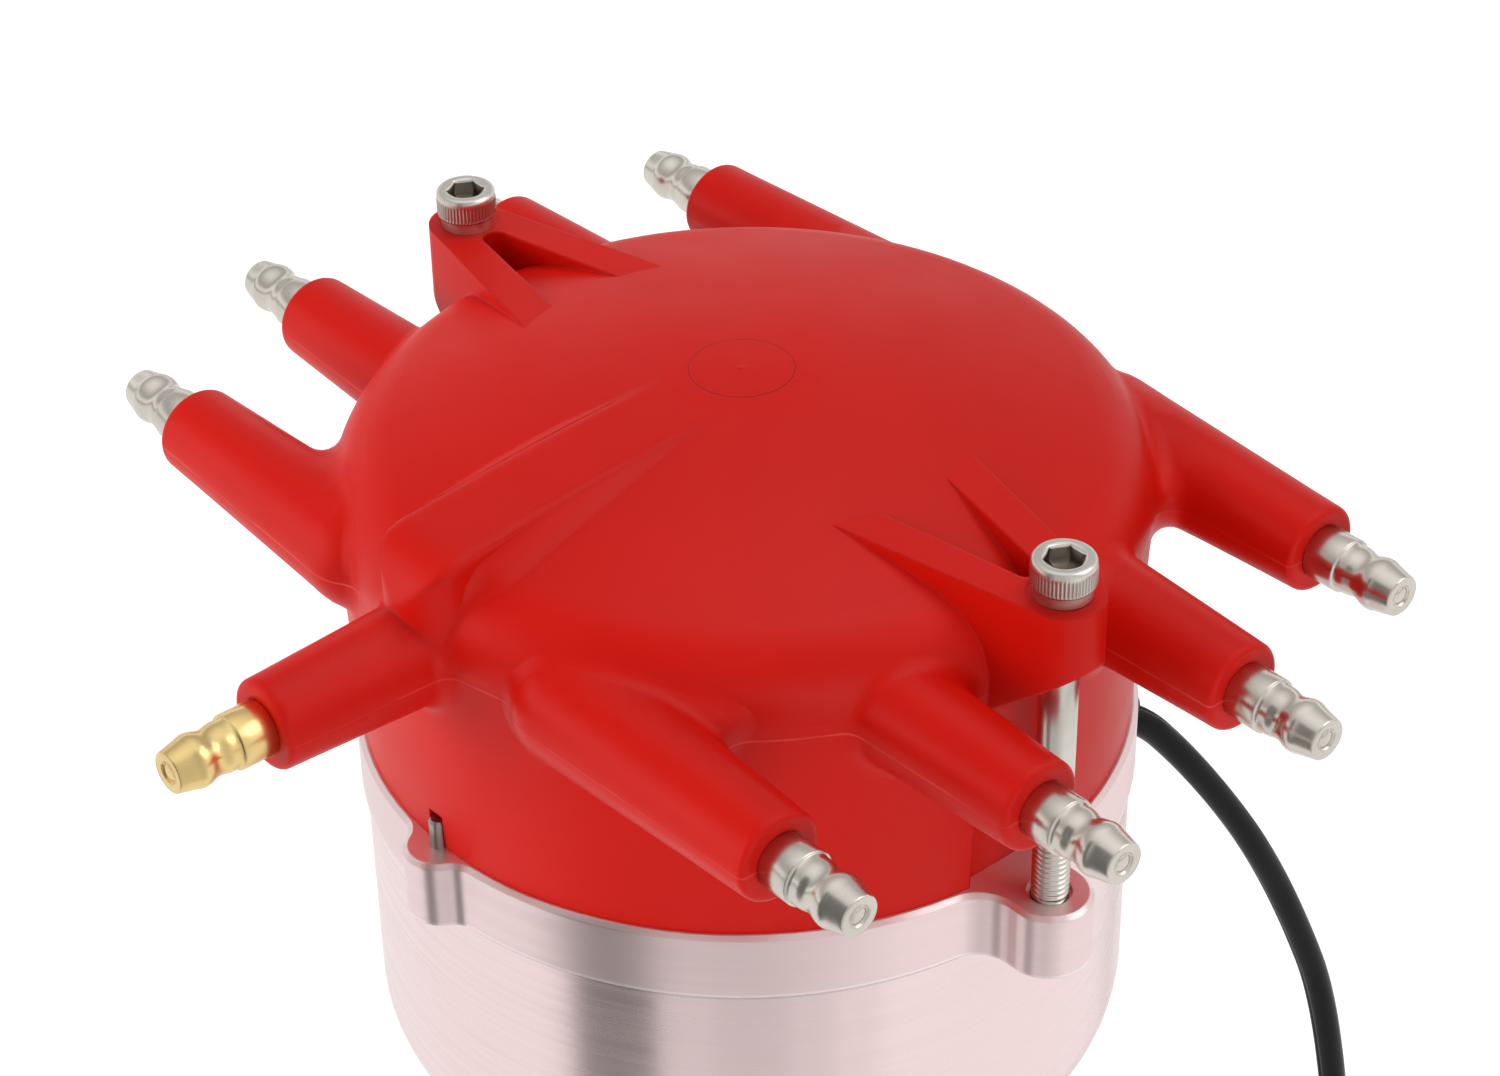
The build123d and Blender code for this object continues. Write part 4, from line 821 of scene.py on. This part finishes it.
def gradient(stops):
    """Shade of grey by the direction's height: (height from -1 to 1, level) in rising order."""
    level = wt.nodes.new("ShaderNodeMapRange")
    level.inputs["From Min"].default_value = -1.0
    level.inputs["From Max"].default_value = 1.0
    wt.links.new(split.outputs["Z"], level.inputs["Value"])
    shade = wt.nodes.new("ShaderNodeValToRGB")
    wt.links.new(level.outputs["Result"], shade.inputs["Fac"])
    elements = shade.color_ramp.elements
    elements[0].position, elements[1].position = 0.0, 1.0
    for element, value in zip(elements, (stops[0][1], stops[-1][1])):
        element.color = (value, value, value, 1)
    for height, value in stops[1:-1]:
        elements.new((height + 1) / 2).color = (value, value, value, 1)
    return shade.outputs["Color"]


def background(color=None, strength=1.0):
    """World shader of one colour socket, or plain white."""
    made = wt.nodes.new("ShaderNodeBackground")
    made.inputs["Strength"].default_value = strength
    made.inputs["Color"].default_value = (1, 1, 1, 1)
    if color is not None:
        wt.links.new(color, made.inputs["Color"])
    return made


def darkened_toward(color, direction, start, end, least):
    """The shade, taken down around one fixed direction, as the dark part of a studio does."""
    facing = wt.nodes.new("ShaderNodeVectorMath")
    facing.operation = "DOT_PRODUCT"
    wt.links.new(where.outputs["Generated"], facing.inputs[0])
    facing.inputs[1].default_value = direction
    level = wt.nodes.new("ShaderNodeMapRange")
    for socket, value in (("From Min", start), ("From Max", end), ("To Min", 1.0), ("To Max", least)):
        level.inputs[socket].default_value = value
    wt.links.new(facing.outputs["Value"], level.inputs["Value"])
    scaled = wt.nodes.new("ShaderNodeVectorMath")
    scaled.operation = "SCALE"
    wt.links.new(color, scaled.inputs[0])
    wt.links.new(level.outputs["Result"], scaled.inputs["Scale"])
    return scaled.outputs["Vector"]


LIGHT_STOPS = [(-1, 0.95), (0.0, 1.0), (0.35, 0.65), (1, 0.5)]
MIRROR_STOPS = [(-1, 1.0), (-0.01, 0.3), (0.035, 0.35), (0.09, 1.2), (0.26, 1.1), (0.42, 0.48), (0.6, 0.56),
                (0.8, 0.78), (1, 1.1)]
DARK_SIDE = (0.658, -0.491, 0.571)

rays = wt.nodes.new("ShaderNodeLightPath")
lighting = background(gradient(LIGHT_STOPS), 0.56)
mirrored = background(darkened_toward(gradient(MIRROR_STOPS), DARK_SIDE, 0.8, 0.98, 0.45))
seen = background()
gloss_or_light = wt.nodes.new("ShaderNodeMixShader")
shiny = wt.nodes.new("ShaderNodeMath")
shiny.operation = "ADD"
wt.links.new(rays.outputs["Is Glossy Ray"], shiny.inputs[0])
wt.links.new(rays.outputs["Is Transmission Ray"], shiny.inputs[1])
wt.links.new(shiny.outputs[0], gloss_or_light.inputs["Fac"])
wt.links.new(lighting.outputs[0], gloss_or_light.inputs[1])
wt.links.new(mirrored.outputs[0], gloss_or_light.inputs[2])
pick = wt.nodes.new("ShaderNodeMixShader")
wt.links.new(rays.outputs["Is Camera Ray"], pick.inputs["Fac"])
wt.links.new(gloss_or_light.outputs[0], pick.inputs[1])
wt.links.new(seen.outputs[0], pick.inputs[2])
output = wt.nodes.new("ShaderNodeOutputWorld")
wt.links.new(pick.outputs[0], output.inputs["Surface"])


def quad(name, corners, material):
    mesh = bpy.data.meshes.new(name)
    mesh.from_pydata([tuple(c) for c in corners], [], [(0, 1, 2, 3)])
    mesh.materials.append(material)
    obj = bpy.data.objects.new(name, mesh)
    bpy.context.scene.collection.objects.link(obj)
    return obj


# A pale floor: the camera sees it lit, with the object's shadow, and metal sees it plain white.
FLOOR_LEVEL, FLOOR_HALF = -0.128, 3
floor_material = bpy.data.materials.new("pale_floor")
floor_material.use_nodes = True
ft = floor_material.node_tree
ft.nodes.clear()


def floor_glow(level, far_level=None):
    """Plain light of the floor; with a far level it rises to that with the distance from the object."""
    made = ft.nodes.new("ShaderNodeEmission")
    made.inputs["Strength"].default_value = level
    if far_level is not None:
        place = ft.nodes.new("ShaderNodeTexCoord")
        distance = ft.nodes.new("ShaderNodeVectorMath")
        distance.operation = "LENGTH"
        rise = ft.nodes.new("ShaderNodeMapRange")
        for socket, value in (("From Min", 0.35), ("From Max", 1.2), ("To Min", level), ("To Max", far_level)):
            rise.inputs[socket].default_value = value
        ft.links.new(place.outputs["Object"], distance.inputs[0])
        ft.links.new(distance.outputs["Value"], rise.inputs["Value"])
        ft.links.new(rise.outputs["Result"], made.inputs["Strength"])
    return made.outputs[0]


def floor_pick(ray, otherwise, shader):
    """The shader for one kind of ray, else what came before."""
    chooser = ft.nodes.new("ShaderNodeMixShader")
    ft.links.new(floor_rays.outputs[ray], chooser.inputs["Fac"])
    ft.links.new(otherwise, chooser.inputs[1])
    ft.links.new(shader, chooser.inputs[2])
    return chooser.outputs[0]


floor_rays = ft.nodes.new("ShaderNodeLightPath")
paint = ft.nodes.new("ShaderNodeBsdfDiffuse")
paint.inputs["Color"].default_value = (0.9, 0.9, 0.9, 1)
lifted = ft.nodes.new("ShaderNodeAddShader")
ft.links.new(paint.outputs[0], lifted.inputs[0])
ft.links.new(floor_glow(0.35, 0.85), lifted.inputs[1])
surface = floor_pick("Is Camera Ray", paint.outputs[0], lifted.outputs[0])
for ray in ("Is Glossy Ray", "Is Transmission Ray"):
    surface = floor_pick(ray, surface, floor_glow(1.0))
ft.links.new(surface, ft.nodes.new("ShaderNodeOutputMaterial").inputs["Surface"])
quad("floor", [(x * FLOOR_HALF, y * FLOOR_HALF, FLOOR_LEVEL) for x, y in ((-1, -1), (1, -1), (1, 1), (-1, 1))],
     floor_material)

# Cards that show only in the metal, as the dark and grey bands of a studio: azimuths in degrees, and level.
CARDS = [(-88, -65, 0.14), (-65, -50, 0.69), (-50, -31, 0.60), (-31, -19, 0.72), (-19, -7, 0.86)]
CARD_DISTANCE, CARD_TOP = 0.2, 0.34


def card(name, start, end, level):
    """Upright strip between two azimuths about the axis."""
    made_of = bpy.data.materials.new(name)
    made_of.use_nodes = True
    tree = made_of.node_tree
    tree.nodes.clear()
    glow = tree.nodes.new("ShaderNodeEmission")
    glow.inputs["Color"].default_value = (level, level, level, 1)
    tree.links.new(glow.outputs[0], tree.nodes.new("ShaderNodeOutputMaterial").inputs["Surface"])
    corners = []
    for angle, z in ((start, FLOOR_LEVEL), (end, FLOOR_LEVEL), (end, CARD_TOP), (start, CARD_TOP)):
        turn = math.radians(angle)
        corners.append((CARD_DISTANCE * math.cos(turn), CARD_DISTANCE * math.sin(turn), z))
    made = quad(name, corners, made_of)
    made.visible_camera = False
    made.visible_diffuse = False
    made.visible_transmission = False
    made.visible_shadow = False


for number, (start, end, level) in enumerate(CARDS):
    card(f"card_{number}", start, end, level)
